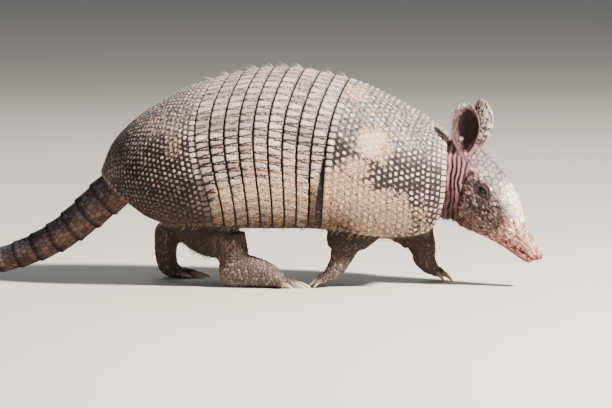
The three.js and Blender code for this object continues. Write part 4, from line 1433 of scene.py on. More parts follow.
def eyelids(side):
    """Points, faces and colours of the lids round one eye, wrapped closely on the eyeball."""
    middle, out, ahead, up = eye_frame(side)
    turn, grow = crossed(round_turn(56), [0, 0, 0.35, 0.75, 1.2, 1.7, 2.3, 3.0, 3.7, 4.4, 5.0])
    length, height = LID_OPENING
    across = (length + grow) * np.cos(turn)
    pinch = np.abs(np.sin(turn)) ** (0.45 * smooth(3.0, 0, grow))
    upwards = (height + grow * 0.95) * np.sin(turn) * pinch + 0.25 * np.cos(turn)
    ring = np.hypot(across, upwards)
    backs, turns = crossed(np.linspace(EYE_AT[0] - 13, EYE_AT[0] + 13, 60),
                           side * np.linspace(0.6, 2.4, 90))
    face = head_point(backs, turns, COAT).reshape(-1, 3) - middle
    flat = stacked(face @ ahead, face @ up, face @ ahead * 0)
    wanted = stacked(across, upwards, across * 0)
    _, index = nearest(wanted.reshape(-1, 3), flat, 1)
    level = (face @ out)[index[:, 0]].reshape(ring.shape)
    ball = np.sqrt(np.maximum(LID_RADIUS**2 - ring**2, 0))
    folded = 0.16 * np.cos(grow * 4.6) * smooth(0.3, 0.8, grow)
    rise = np.maximum(ball, level + 0.25) + folded + 0.3 * bump(grow, 0.45, 0.9)
    rise = np.where(grow > 4.7, level - 1.2, rise)
    rise = np.where(grow > 4.0, np.minimum(rise, level + 0.05), rise)
    rise[:, 0] = np.sqrt(np.maximum(LID_LINING**2 - ring[:, 0] ** 2, 0))
    points = (middle + across[..., None] * ahead + upwards[..., None] * up
              + rise[..., None] * out)
    rows, columns = across.shape
    corner = np.arange(rows)[:, None] * columns + np.arange(columns - 1)
    after = np.roll(corner, -1, 0)
    faces = stacked(corner, after, after + 1, corner + 1).reshape(-1, 4)
    trial = points.reshape(-1, 3)[faces[len(faces) // 2]]
    if np.cross(trial[1] - trial[0], trial[2] - trial[0]) @ out < 0:
        faces = faces[:, ::-1]
    tone = layered(colour_of("2c1c1b"), (smooth(0.9, 0.3, grow), "140c0d"),
                   (bump(grow, 1.7, 0.5) * 0.5, "5e443f"))
    return from_head(points.reshape(-1, 3)), faces.tolist(), tone, tone[:, 0] * 0


def skin(finish):
    """The one skin over trunk, neck, head, ears and legs."""
    tubes = flesh_tubes()
    piece = remeshed_flesh(tubes)
    mesh = piece.data
    points, normals = vertices_of(mesh), normals_of(mesh)
    share = kinds_at(points, tubes)
    local = to_head(points)
    back, angle = head_places(local, np.flatnonzero(share["head"] > 0.05))
    behind = smooth(100, 107, back) * smooth(0.75, 1.0, np.abs(angle)) * share["head"]
    share["head"] = share["head"] - behind
    share["neck"] = share["neck"] + behind
    height, fold_shade = skin_relief(points, share, local, back, angle)
    free = 1 - smooth(0.5, 0.8, hidden_share(points))
    points = points + normals * (height * free)[:, None]
    local, pits = shaped_head(to_head(points), share, back, angle)
    head = (share["head"] > 0.3)[:, None]
    points = np.where(head, from_head(local), points)
    points[:, 2] = np.maximum(points[:, 2], 0.05)
    tone = skin_tone(points, share, local, back, angle, fold_shade, pits)
    faces = faces_of(mesh)
    place_vertices(mesh, points)
    rooted = {"points": points, "normals": normals_of(mesh), "tone": tone, "share": share,
              "local": local, "back": back, "angle": angle}
    parts = [(points, faces, tone, pits)]
    for side in EYE_SIDES.values():
        parts.append(ear(side))
        parts.append(eyelids(side))
    all_faces, first = [], 0
    for part in parts:
        all_faces += [[k + first for k in face] for face in part[1]]
        first += len(part[0])
    bpy.data.objects.remove(piece)
    made = new_mesh("skin", np.concatenate([part[0] for part in parts]), all_faces,
                    {"tone": with_alpha(np.concatenate([part[2] for part in parts])),
                     "wet": np.concatenate([part[3] for part in parts])})
    limbs = [f"{leg}_{part}" for leg in LEGS for part in ("upper", "lower", "foot")]
    dress(made, finish, "skin", "trunk", "neck", "head", "ear_left", "ear_right", *limbs)
    return rooted


# --- eyes and claws
def eyeball(name, finish):
    middle, out, ahead, up = eye_frame(EYE_SIDES[name])
    tilt, turn = crossed(np.linspace(0, np.pi, 24)[1:-1], round_turn(40))
    ball = (np.cos(tilt)[..., None] * out + (np.sin(tilt) * np.cos(turn))[..., None] * ahead
            + (np.sin(tilt) * np.sin(turn))[..., None] * up)
    points = np.concatenate([ball.reshape(-1, 3), [out, -out]]) * EYE_RADIUS + middle
    count = ball.shape[0] * 40
    faces = tube_faces(ball.shape[0], 40)[:-2]
    for j in range(40):
        after = (j + 1) % 40
        faces.append([after, j, count])
        faces.append([count - 40 + j, count - 40 + after, count + 1])
    made = new_mesh(f"eyeball_{name}", from_head(points), faces)
    flip_inside_out(made)
    return dress(made, finish, "eye", f"eye_{name}")


def claw(name, tip, end, finish):
    """A curved horn, broad at its root, with fine ridges along it."""
    start = np.array(tip, float)
    start += unit(start - np.array(end, float)) * 0.8
    rings = tube(bent_cone(start, end, *CLAW_RADII, CLAW_ARCH), 0.05, 22, 20)
    centre = rings.mean(1, keepdims=True)
    taper, turn = crossed(np.linspace(0, 1, 22), round_turn(20))
    ridge = 1 + 0.05 * np.cos(turn * 5) * (1 - taper) - 0.45 * smooth(0.86, 1, taper)
    points = centre + (rings - centre) * ridge[..., None]
    points[..., 2] = np.maximum(points[..., 2], 0)
    made = new_mesh(f"{name}_horn", points.reshape(-1, 3), tube_faces(22, 20), {"worn": taper})
    flip_inside_out(made)
    return dress(made, finish, "claw", name)


# --- the tail's armour
def curve_through(points, per_span=80):
    """A smooth curve through points, whose speed follows the root of their spacing."""
    padded = np.concatenate([[2 * points[0] - points[1]], points, [2 * points[-1] - points[-2]]])
    step = np.sqrt(np.linalg.norm(np.diff(padded, axis=0), axis=1))
    t = np.linspace(0, 1, per_span, endpoint=False)[:, None]
    spans = []
    for i in range(1, len(points)):
        a, b, c, d = padded[i - 1:i + 3]
        before, here, after = step[i - 1:i + 2]
        m = ((b - a) / before - (c - a) / (before + here) + (c - b) / here) * here
        n = ((c - b) / here - (d - b) / (here + after) + (d - c) / after) * here
        spans.append(hermite(b, c, m, n, t))
    return np.concatenate([*spans, points[-1:]])


TAIL_CURVE = curve_through(np.concatenate([
    [TAIL_START + RUMP_OUT * GAP], np.array(TAIL_PATH) + (FORWARD, 0, 0)]))
TAIL_RUN = lengths(TAIL_CURVE, 0)
TAIL_LENGTH = TAIL_RUN[-1]
RING_ENDS = TAIL_RINGED * (1 - (1 - np.arange(TAIL_RINGS + 1) / TAIL_RINGS) ** TAIL_SHORTENING)


def tail_radius(share):
    return blend(TAIL_TIP, TAIL_ROOT, (1 - share) ** TAIL_TAPER)


def ring_place(share):
    """Number of the tail ring at a share of the length, and the place along it."""
    number = np.clip(np.searchsorted(RING_ENDS, share, side="right") - 1, 0, TAIL_RINGS - 1)
    place = (share - RING_ENDS[number]) / (RING_ENDS[number + 1] - RING_ENDS[number])
    return number, place


def tail_surface(share, turn, raised=0.0):
    """A point on the tail; turn is 0 underneath. The underside is flat on the floor."""
    _, place = ring_place(share)
    ringed = share < TAIL_RINGED
    radius = tail_radius(share) * np.where(ringed, blend(0.95, 1.04, place), 1) - 0.25 + raised
    radius = radius * np.sqrt(np.clip(1 - smooth(0.992, 1.004, share), 0, 1))
    centre = points_at(share * TAIL_LENGTH, TAIL_RUN, TAIL_CURVE)
    ahead = points_at(share * TAIL_LENGTH, TAIL_RUN, np.gradient(TAIL_CURVE, axis=0))
    ahead = unit(unit(ahead) + RUMP_OUT * (3 * smooth(0.04, 0, share))[..., None])
    centre[..., 2] = np.maximum(centre[..., 2], tail_radius(share) - 0.4)
    side = unit(stacked(-ahead[..., 1], ahead[..., 0], ahead[..., 0] * 0))
    up = np.cross(ahead, side)
    point = (centre + side * (radius * np.sin(turn))[..., None]
             - up * (radius * np.cos(turn))[..., None])
    point[..., 2] = np.maximum(point[..., 2], 0.02)
    return point


def tail_seeds():
    """Middles of the tail's scales: three rows to a ring, then small rows to the tip."""
    rows = []
    for number in range(TAIL_RINGS):
        start, end = RING_ENDS[number], RING_ENDS[number + 1]
        girth = 2 * np.pi * tail_radius((start + end) / 2)
        count = max(8, round(girth / blend(5.0, 3.6, number / TAIL_RINGS)))
        for row, place in enumerate((0.13, 0.42, 0.76)):
            rows.append((blend(start, end, place), count, 0.5 * (row % 2)))
    share, row = TAIL_RINGED + 0.008, 0
    while share < 0.995:
        pitch = blend(3.0, 1.7, (share - TAIL_RINGED) / (1 - TAIL_RINGED))
        rows.append((share, max(5, round(2 * np.pi * tail_radius(share) / pitch)), 0.5 * (row % 2)))
        share += pitch * 0.9 / TAIL_LENGTH
        row += 1
    shares = np.concatenate([np.full(count, share) for share, count, _ in rows])
    turns = np.concatenate([(np.arange(count) + first) / count * 2 * np.pi
                            for _, count, first in rows])
    number = np.arange(len(shares))
    turns = turns + (lots(number, 0, 5) - 0.5) * 0.8 / tail_radius(shares)
    shares = shares + (lots(number, 0, 6) - 0.5) / TAIL_LENGTH
    return tail_surface(shares, turns)


def tail(finish):
    share, turn = crossed(spread(0.002, 1, 0.72 * FINE / TAIL_LENGTH),
                          round_turn(round(150 / FINE)))
    base = tail_surface(share, turn)
    near, _, to_edge = cell_of(base, tail_seeds())
    slim = tail_radius(share) / TAIL_ROOT
    wander = (rough(base, 1.3, 51, 2) - 0.5) * 0.4
    tablet = smooth(0.08, 0.62, to_edge / np.sqrt(slim) + wander)
    lot = lots(near, 9, 13)
    _, place = ring_place(share)
    ringed = smooth(TAIL_RINGED + 0.004, TAIL_RINGED - 0.004, share)
    # lip: each ring's raised rear end, which the finish paints dark as shadow
    lip = ringed * smooth(0.7, 0.9, place)
    edge = ringed * bump(np.minimum(place, 1 - place), 0, 0.05)
    raised = (0.62 * tablet + 0.25 * lot + 0.2 * (rough(base, 1, 52, 2) - 0.5)) * np.sqrt(slim)
    raised = raised - 0.25 + 0.35 * lip * slim - 0.8 * edge * slim
    points = tail_surface(share, turn, raised).reshape(-1, 3)
    made = new_mesh("tail_scales", points, tube_faces(*share.shape), {
        "groove": np.maximum(smooth(0.4, 0.05, to_edge), edge), "lot": lot, "lip": lip,
        "top": 0.5 - 0.5 * np.cos(turn)})
    flip_inside_out(made)
    return dress(made, finish, "small_scales", "tail_1", "tail_2", "tail_3", "tail_4")


# --- the coat
PATCH = 0.003  # size of a tuft's patch on the coat's unwrap


def coat_tree():
    """A node group that stands one shape on every point of a mesh. Each point's own turn and
    size say how, and a number from 0 to 1 is given to each, from a fixed seed."""
    tree = bpy.data.node_groups.new("coat", "GeometryNodeTree")
    sockets = {}
    for label, kind in (("Points", "Geometry"), ("Shape", "Object"), ("Finish", "Material"),
                        ("Seed", "Int")):
        sockets[label] = tree.interface.new_socket(
            label, in_out="INPUT", socket_type=f"NodeSocket{kind}").identifier
    tree.interface.new_socket("Coat", in_out="OUTPUT", socket_type="NodeSocketGeometry")

    def node(kind, settings=None, inputs=None):
        made = tree.nodes.new(kind)
        for key, value in (settings or {}).items():
            setattr(made, key, value)
        for key, value in (inputs or {}).items():
            if isinstance(value, bpy.types.NodeSocket):
                tree.links.new(value, made.inputs[key])
            else:
                made.inputs[key].default_value = value
        return made

    given = node("NodeGroupInput").outputs
    shape = node("GeometryNodeObjectInfo", {"transform_space": "ORIGINAL"},
                 {"Object": given["Shape"]})
    turn, size = (node("GeometryNodeInputNamedAttribute", {"data_type": "FLOAT_VECTOR"},
                       {"Name": name}) for name in ("turn", "size"))
    turned = node("FunctionNodeEulerToRotation", None, {"Euler": turn.outputs[0]})
    stood = node("GeometryNodeInstanceOnPoints", None,
                 {"Points": given["Points"], "Instance": shape.outputs["Geometry"],
                  "Rotation": turned.outputs[0], "Scale": size.outputs[0]})
    chance = node("FunctionNodeRandomValue", {"data_type": "FLOAT"}, {"Seed": given["Seed"]})
    marked = node("GeometryNodeStoreNamedAttribute",
                  {"data_type": "FLOAT", "domain": "INSTANCE"},
                  {"Geometry": stood.outputs[0], "Name": "lot",
                   "Value": next(o for o in chance.outputs if o.enabled)})
    real = node("GeometryNodeRealizeInstances", None, {"Geometry": marked.outputs[0]})
    dressed = node("GeometryNodeSetMaterial", None,
                   {"Geometry": real.outputs[0], "Material": given["Finish"]})
    node("NodeGroupOutput", None, {"Coat": dressed.outputs[0]})
    return tree, sockets


def strand_shape(thick, bend):
    """A thin tapering bristle of unit length along +Z, bent towards +X."""
    share, turn = crossed(np.linspace(0, 1, 5), round_turn(3))
    radius = thick * (1 - 0.8 * share**1.5)
    points = stacked(radius * np.cos(turn) + bend * share**2, radius * np.sin(turn),
                     share * (1 - 0.3 * bend * share)).reshape(-1, 3)
    patch = stacked(share, turn / (2 * np.pi), share * 0)
    return new_mesh("strand", points / MM, tube_faces(5, 3), {"patch": patch, "rise": share})


def pebble_shape():
    """A low six-sided scale of unit radius, domed and closed below."""
    turn = np.arange(6) * np.pi / 3
    rings = [(1.0, -0.5), (0.97, 0.35), (0.72, 0.85)]
    points = [[r * math.cos(a), r * math.sin(a), z] for r, z in rings for a in turn]
    points += [[0, 0, 1.0], [0, 0, -0.5]]
    faces = tube_faces(3, 6)[:-2]
    for j in range(6):
        after = (j + 1) % 6
        faces.append([12 + j, 12 + after, 18])
        faces.append([after, j, 19])
    points = np.array(points)
    rise = np.array([0.0] * 6 + [0.25] * 6 + [0.7] * 6 + [1.0, 0.0])
    patch = np.column_stack([points[:, 0] / 2 + 0.5, points[:, 1] / 2 + 0.5, points[:, 2] * 0])
    return new_mesh("pebble", points / MM, faces, {"patch": patch, "rise": rise})


def turns_of(ahead, lean):
    """Angles that turn +Z to point ahead and +X to the side where it leans."""
    z = unit(ahead)
    x = unit(lean - z * (lean * z).sum(-1, keepdims=True))
    y = np.cross(z, x)
    return stacked(np.arctan2(y[:, 2], z[:, 2]), -np.arcsin(np.clip(x[:, 2], -1, 1)),
                   np.arctan2(x[:, 1], x[:, 0]))


def grow(name, shape, tufts, finish, slot, seed):
    """A coat piece: the shape stood at every tuft, made into one plain mesh."""
    joined = {key: np.concatenate([group[key] for group in tufts]) for key in tufts[0]}
    count = len(joined["root"])
    root = np.column_stack([joined["place"], np.zeros(count)])
    piece = new_mesh(name, joined["root"], [], {
        "turn": turns_of(joined["ahead"], joined["lean"]), "size": joined["size"] * MM,
        "tone": with_alpha(joined["tone"]), "root": root})
    tree, sockets = coat_tree()
    stand = piece.modifiers.new("coat", "NODES")
    stand.node_group = tree
    stand[sockets["Shape"]] = shape
    stand[sockets["Finish"]] = finish
    stand[sockets["Seed"]] = seed
    piece.data = applied(piece, name)
    mesh = piece.data
    place, patch = (read(mesh.attributes[key].data, "vector", 3) for key in ("root", "patch"))
    spot = place + (patch - 0.5) * PATCH
    corners = read(mesh.loops, "vertex_index", kind=np.int32)
    unwrap = mesh.uv_layers.new(name="OFBake")
    unwrap.data.foreach_set("uv", spot[corners, :2].astype(np.float32).ravel())
    for key in ("turn", "size", "root", "patch"):
        if key in mesh.attributes:
            mesh.attributes.remove(mesh.attributes[key])
    mesh.shade_smooth()
    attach(piece, "root")
    return piece


def chosen_roots(points, chance, seed):
    """Numbers of the points that are picked, each with its own chance."""
    return np.flatnonzero(scatter(np.round(points * 20), seed) < chance)


def spaced_roots(points, pitch, seed):
    """Numbers of points picked so that none is nearer to another than the pitch there."""
    order = np.argsort(scatter(np.round(points * 20), seed))
    order = order[pitch[order] > 0]
    tree = tree_of(points[order])
    free = np.ones(len(order), bool)
    kept = []
    for index in range(len(order)):
        if free[index]:
            kept.append(order[index])
            for _, other, _ in tree.find_range(points[order[index]], pitch[order[index]]):
                free[other] = False
    return np.array(kept)


def varied(count, seed, low, high):
    cells = stacked(np.arange(count), np.arange(count) // 7, np.zeros(count))
    return blend(low, high, scatter(cells, seed))


def jitter(count, seed, reach):
    """Random vectors with each part between -reach and reach."""
    return np.stack([varied(count, seed + k, -reach, reach) for k in range(3)], -1)


def tufts(root, ahead, lean, length, tone, place, thick=1.0):
    """Values of a group of strands, as long as their lengths in millimetres."""
    length = np.asarray(length, float)[:, None]
    return {"root": root, "ahead": ahead, "lean": lean, "tone": tone, "place": place,
            "size": np.hstack([length * thick, length * thick, length])}


def leg_place(points):
    """Place on the coat's unwrap of points on the legs."""
    x, y, z = parts(points)
    column = np.zeros(len(points))
    centre = np.zeros((len(points), 2))
    for number, leg in enumerate(LEGS.values()):
        joints = np.array(sorted(leg["upper"] + leg["lower"][1:] + leg["foot"][2:],
                                 key=lambda joint: joint[2]), float)
        here = ((y > 0) == (joints[0, 1] > 0)) & ((x < 0) == (joints[:, 0].mean() < 0))
        column[here] = number
        centre[here] = points_at(z, joints[:, 2], joints)[here, :2]
    turn = np.arctan2(y - centre[:, 1], x - centre[:, 0]) / (2 * np.pi) + 0.5
    return stacked(0.01 + 0.2 * column + 0.18 * turn, 0.52 + 0.26 * np.clip(z / 85, 0, 1))


def head_place(back, angle):
    return stacked(0.52 + 0.46 * np.clip(back / 128, 0, 1),
                   0.02 + 0.46 * (angle / (2 * np.pi) + 0.5))


def shell_place(along, angle):
    return stacked(0.02 + 0.46 * along / SHELL_LENGTH,
                   0.02 + 0.46 * (angle / (2 * EDGE_ANGLE) + 0.5))


def shell_tufts(along, angle, depth, rise, droop, length, tone, seed):
    """Strands that grow from the shell: rise is how steeply they stand off it."""
    root = shell_point(along, angle, depth)
    step = 0.5
    ahead = unit(shell_point(along + step, angle) - shell_point(along - step, angle))
    across = unit(shell_point(along, angle + 0.01) - shell_point(along, angle - 0.01))
    out = unit(np.cross(across, ahead))
    out = out * np.sign(out[:, 2:] * np.cos(angle)[:, None] + out[:, 1:2] * np.sin(angle)[:, None])
    sway = varied(len(root), seed, -0.45, 0.45)[:, None]
    flow = unit(-ahead + across * sway + np.array([0, 0, -1.0]) * droop)
    tilt = (rise * varied(len(root), seed + 1, 0.75, 1.25))[:, None]
    growth = unit(flow * np.cos(tilt) + out * np.sin(tilt))
    return tufts(root, growth, flow, length, tone, shell_place(along, angle))


def toned(count, seed, first, second):
    share = varied(count, seed, 0, 1)[:, None]
    return blend(colour_of(first), colour_of(second), share)


def shell_bristles():
    """Bristles from under each band's lip, between the scutes and under the lower edge."""
    groups = []
    for line in range(BANDS + 1):
        count = BAND_BRISTLES
        angle = np.sort(varied(count, 200 + line, -1, 1)) * EDGE_ANGLE * 0.97
        angle = np.sign(angle) * np.abs(angle / EDGE_ANGLE) ** 1.25 * EDGE_ANGLE
        along = BAND_LINES[line] - varied(count, 220 + line, 0.4, 4.5)
        length = varied(count, 240 + line, 3.0, 8.5) * blend(1.25, 0.5, np.abs(angle) / EDGE_ANGLE)
        steep = 0.95 - 0.4 * np.abs(angle) / EDGE_ANGLE
        groups.append(shell_tufts(along, angle, 1.4, steep, 0.0, length,
                                  toned(count, 260 + line, "b9a48f", "efe4d6"), 280 + line))
    for number, (start, end) in enumerate(((8, BANDS_FROM - 4), (BANDS_TO + 4, SHELL_LENGTH - 8))):
        count = SHIELD_BRISTLES
        along = varied(count, 300 + number, start, end)
        angle = varied(count, 310 + number, -1, 1) * EDGE_ANGLE * 0.9
        length = varied(count, 320 + number, 2.2, 4.6)
        groups.append(shell_tufts(along, angle, 0.4, 0.5 + 0 * angle, 0.0, length,
                                  toned(count, 330 + number, "a08f82", "e2d6c8"), 340 + number))
    for number, side in enumerate((-1, 1)):
        # the dark group stands partly for painted shade under the edge
        for depth, low, high, first, second in ((PLATE + 0.6, 3, 8, "2e2320", "6b584f"),
                                                (PLATE + 1.6, 4, 10, "8d796b", "cbb9a6")):
            count = EDGE_BRISTLES[0 if low == 3 else 1]
            along = varied(count, 350 + number + int(low), 26, SHELL_LENGTH - 34)
            along = along + (noise(stacked(along, along, along), 7, 351) - 0.5) * 16
            angle = side * EDGE_ANGLE + 0 * along
            length = varied(count, 360 + number + int(low), low, high)
            group = shell_tufts(along, angle, depth, 0.25 + 0 * angle, 1.6, length,
                                toned(count, 370 + number, first, second), 380 + number)
            groups.append(group)
    return groups


def skin_tufts(rooted, chance, seed, flow, rise, low, high, lighter, thick=1.0):
    """Strands that grow from the skin and lie along the flow."""
    keep = chosen_roots(rooted["points"], chance * FINE ** -0.5, seed)
    root, out = rooted["points"][keep], rooted["normals"][keep]
    count = len(keep)
    flow = np.broadcast_to(np.asarray(flow, float), (len(rooted["points"]), 3))[keep]
    flow = flow + jitter(count, seed + 1, 0.35)
    flow = unit(flow - out * (flow * out).sum(-1, keepdims=True))
    tilt = (rise * varied(count, seed + 4, 0.6, 1.4))[:, None]
    growth = unit(flow * np.cos(tilt) + out * np.sin(tilt))
    root = root - out * 0.3
    tone = rooted["tone"][keep] * varied(count, seed + 5, *lighter)[:, None]
    place = leg_place(root)
    head = rooted["share"]["head"][keep] + rooted["share"]["neck"][keep] > 0.5
    place[head] = head_place(rooted["back"][keep], rooted["angle"][keep])[head]
    lengths_here = varied(count, seed + 6, low, high)
    clear = root[:, 2] + growth[:, 2] * lengths_here > 0.5
    made = tufts(root, growth, flow, lengths_here, tone, place, thick)
    return {key: value[clear] for key, value in made.items()}


def skin_hairs(rooted):
    """Hairs of the legs, belly, throat and cheeks."""
    points, share, back, angle = (rooted[k] for k in ("points", "share", "back", "angle"))
    x, _, z = parts(points)
    hidden = hidden_share(points)
    seen = (hidden < 0.9) & (z > 3)
    hind, fore = share["upper"] * (x < 0) * seen, share["upper"] * (x > 0) * seen
    throat = (share["head"] * smooth(62, 78, back) * smooth(1.7, 2.2, np.abs(angle))
              + share["neck"] * smooth(88, 74, z))
    cheek = share["head"] * smooth(30, 50, back) * smooth(1.0, 1.3, np.abs(angle))
    down = (-0.35, 0, -1.0)
    # How likely at each point, the way they lie, how steep, shortest, longest, how much
    # lighter than the skin, and how thick
    kinds = (
        (hind * 0.42, down, 0.3, 5, 10, (0.6, 1.6), 1.25),
        (hind * 0.07, down, 0.5, 7, 13, (2.0, 3.6)),
        (fore * 0.2, down, 0.3, 3.5, 6.5, (0.7, 2.0), 1.2),
        (share["lower"] * seen * 0.05, down, 0.3, 2.5, 4.5, (0.7, 2.0)),
        (share["foot"] * seen * (z > 6) * 0.012, (0.6, 0, -0.5), 0.3, 1.6, 2.8, (0.8, 1.8)),
        (share["trunk"] * (z < 56) * (hidden < 0.5) * 0.05, (-0.7, 0, -0.8), 0.6, 5, 10,
         (1.2, 2.8)),
        (throat * 0.07, (-0.5, 0, -0.9), 0.5, 4.5, 8.5, (1.6, 3.4)),
        (cheek * 0.02, -HEAD_TURN[:, 0] - (0, 0, 0.4), 0.35, 1.8, 3.4, (1.2, 2.6), 1.3),
    )
    return [skin_tufts(rooted, chance, 400 + 20 * number, *kind)
            for number, (chance, *kind) in enumerate(kinds)]


def tail_bristles():
    count = TAIL_BRISTLES
    number = np.floor(varied(count, 601, 0, 11.99)).astype(int)
    share = RING_ENDS[number + 1] - 0.0035
    turn = varied(count, 602, 0.6, 2 * np.pi - 0.6)
    root = tail_surface(share, turn, -0.1)
    behind = tail_surface(share + 0.012, turn)
    out = unit(tail_surface(share, turn, 1.0) - root)
    flow = unit(behind - tail_surface(share - 0.002, turn))
    growth = unit(flow + out * varied(count, 603, 0.2, 0.6)[:, None])
    place = stacked(0.02 + 0.46 * share, 0.82 + 0.16 * turn / (2 * np.pi))
    length = varied(count, 604, 2.4, 4.6)
    return tufts(root, growth, flow, length, toned(count, 605, "6b5a55", "d8c8b8"), place)


def pebbles(rooted):
    """Small scales of the legs, feet, cheeks and nape."""
    points, share, back, angle = (rooted[k] for k in ("points", "share", "back", "angle"))
    x, _, z = parts(points)
    turn = np.abs(angle)
    seen = (hidden_share(points) < 0.9) & (z > 1.2)
    pitch = np.zeros(len(points))
    pitch[seen & (share["foot"] > 0.5)] = 2.5
    pitch[seen & (share["lower"] > 0.5)] = 2.3
    pitch[seen & (share["upper"] > 0.5) & (x > 0) & (z < 60)] = 2.6
    off_plate = turn > plate_reach(np.clip(back, HEAD_PLATE_FROM, HEAD_PLATE_TO)) + 0.02
    face = (share["head"] > 0.6) & (off_plate | (back > HEAD_PLATE_TO + 1.5))
    for side in EYE_SIDES.values():
        middle, out, _, _ = eye_frame(side)
        face &= np.linalg.norm(rooted["local"] - middle - out * 2, axis=1) > 7.0
    face &= (back > 33) & (back < 124)
    pitch[face] = blend(1.7, 2.3, smooth(40, 90, back))[face]
    pitch[face & (turn < 1.5)] = 2.5
    pitch *= FINE
    keep = spaced_roots(points, pitch, 700)
    root, out = points[keep], rooted["normals"][keep]
    head, count = share["head"][keep] > 0.5, len(keep)
    flow = np.where(head[:, None], -HEAD_TURN[:, 0], (-0.2, 0, -1.0)) + jitter(count, 701, 0.3)
    bright = blend(0.7, np.where(head, 2.6, 2.1), varied(count, 705, 0, 1) ** 2.5)
    tone = rooted["tone"][keep] * bright[:, None]
    place = leg_place(root)
    place[head] = head_place(back[keep], angle[keep])[head]
    radius = pitch[keep] * varied(count, 704, 0.5, 0.66)
    stretch = varied(count, 707, 1.0, 1.3) * np.where(head, 1.35, 1)
    size = stacked(radius * stretch, radius, varied(count, 706, 0.32, 0.55))
    return {"root": root - out * 0.12, "ahead": out, "lean": flow, "tone": tone,
            "place": place, "size": size}


# --- finishes
def shell_finish():
    """Horn scutes on dark bone: pale worn figures, grey dust with painted sky reflection above,
    tan mud below, and painted shade on the rump, along the lower edge and in the gaps.
    """
    shell = Finish("worn_shell_horn", {"Specular IOR Level": 0.25})
    figure, groove, mud, dust_and_sky_sheen, lot = shell.marks("figure", "groove", "mud", "dust_and_sky_sheen", "lot")
    shaded_gap, flat, rump_shade, wide, low = shell.marks("shaded_gap", "flat", "rump_shade", "wide", "low")
    grain, coarse, patch = shell.speckle(0.9, 4), shell.speckle(2.3, 4), shell.speckle(14, 3)
    crumbs = shell.speckle(1.1, 5, 0.7)
    pits = shell.speckle(0.8, 3).within(0.54, 0.62)
    streak = shell.speckle(0.9, 4, stretch=(0.22, 1, 1)).within(0.5, 0.62)
    ground = shell.mix(grain.within(0.4, 0.66), "0e0809", "4c3b3b")
    horn = shell.over(
        shell.mix(lot, "ab9084", "ffe6d9"),
        (coarse.within(0.46, 0.62) * 0.5, "7a6460"),
        (streak * flat * 0.65, "4f3d3c"))
    worn = (figure + (grain - 0.5)).within(0.3, 0.72)
    # Grey dust with painted sky reflection, for the upper back
    dust_and_sky_sheen_tone = shell.over(
        shell.mix(coarse.within(0.4, 0.6), "544a4e", "cac0bd"),
        (grain.within(0.52, 0.68) * 0.7, "3b3336"))
    relief = (figure * 0.16 + crumbs.within(0.38, 0.62) * 0.95 - groove * 0.1).within(0.05, 0.95)
    earth = shell.over(
        shell.mix(relief, "5e3d2b", "f9d6b8"),
        (patch.within(0.4, 0.6) * 0.35, "c79f80"),
        (mud.within(0.9, 1.0) * 0.5, "ffe9d2"),
        (pits * 0.85, "2a170f"))
    cover = (mud + (crumbs - 0.5) * 1.3 + (coarse - 0.5) * 1.3).within(0.2, 0.72)
    cover = cover * (1 - groove * 0.5)
    colour = shell.over(
        ground,
        (worn * (0.62 + patch * 0.5), horn),
        # grey dust and painted sky reflection over the upper back
        (dust_and_sky_sheen * (0.62 - worn * 0.25), dust_and_sky_sheen_tone),
        # painted shade on the rump, darker and flatter low down
        (rump_shade * 0.88, shell.mix(worn * 0.5, "150b0b", "5f4743")),
        (groove * (0.8 - dust_and_sky_sheen * 0.4) * (0.4 + grain), "0b0607"),
        (cover, earth),
        # painted shadow in the gaps under the lips
        (shaded_gap * (1 - wide) * 0.95, "0a0506"),
        # band 1's low end: dark bare skin and painted shade
        (wide * 0.95, shell.mix(coarse.within(0.35, 0.65), "180d0b", "37231e")),
        # painted shade and grime along the lower edge
        (low * (0.5 + coarse * 0.6), shell.mix(coarse.within(0.4, 0.6), "140a07", "472d21")))
    shell.emboss(grain * 0.5 + crumbs * cover, 0.45)
    return shell.paint(colour, 0.62 + cover * 0.3 - figure * 0.12)


def head_scale_finish():
    """Pale horn scales, greyer at the nape, with pink skin in the grooves between them."""
    scales = Finish("pale_head_horn", {"Specular IOR Level": 0.45})
    groove, lot, nape, snout, rim = scales.marks("groove", "lot", "nape", "snout", "rim")
    grain, cloud = scales.speckle(0.8, 4), scales.speckle(7, 3)
    blush = scales.speckle(3.2, 3).within(0.56, 0.7)
    colour = scales.over(
        scales.mix(lot, "e3d3cc", "fff6f1"),
        (nape * 0.95, scales.mix(lot, "191317", "7d7276")),
        (rim * 0.6, scales.mix(lot, "7a6664", "bda7a0")),
        (snout * 0.6, "ecd0c8"),
        (cloud.within(0.5, 0.68) * 0.4, "a9918c"),
        (grain.within(0.52, 0.68) * 0.6, "6b5657"),
        (groove * 0.9, scales.mix((nape + rim).within(0.1, 0.8), "8a4039", "150d11")),
        (blush * snout * 0.8, "b9605c"))
    scales.emboss(grain, 0.3)
    return scales.paint(colour, 0.5 + grain * 0.2)


def skin_finish():
    """Wrinkled skin in its own tones, grained like fine leather."""
    hide = Finish("wrinkled_skin", {"Specular IOR Level": 0.2})
    tone, wet = hide.mark("tone", "Color"), hide.mark("wet")
    cells = hide.pebbles(1.25)
    fine = hide.speckle(0.7, 4, 0.65)
    cloud = hide.speckle(5, 4)
    shade = 0.78 + cloud * 0.34 + (fine - 0.5) * 0.45 - cells.within(0.45, 0.75) * 0.22
    hide.emboss((1 - cells) * 0.6 + fine * 0.5, 0.3)
    return hide.paint(hide.shade(tone, shade), 0.72 - wet * 0.15 - fine * 0.1)


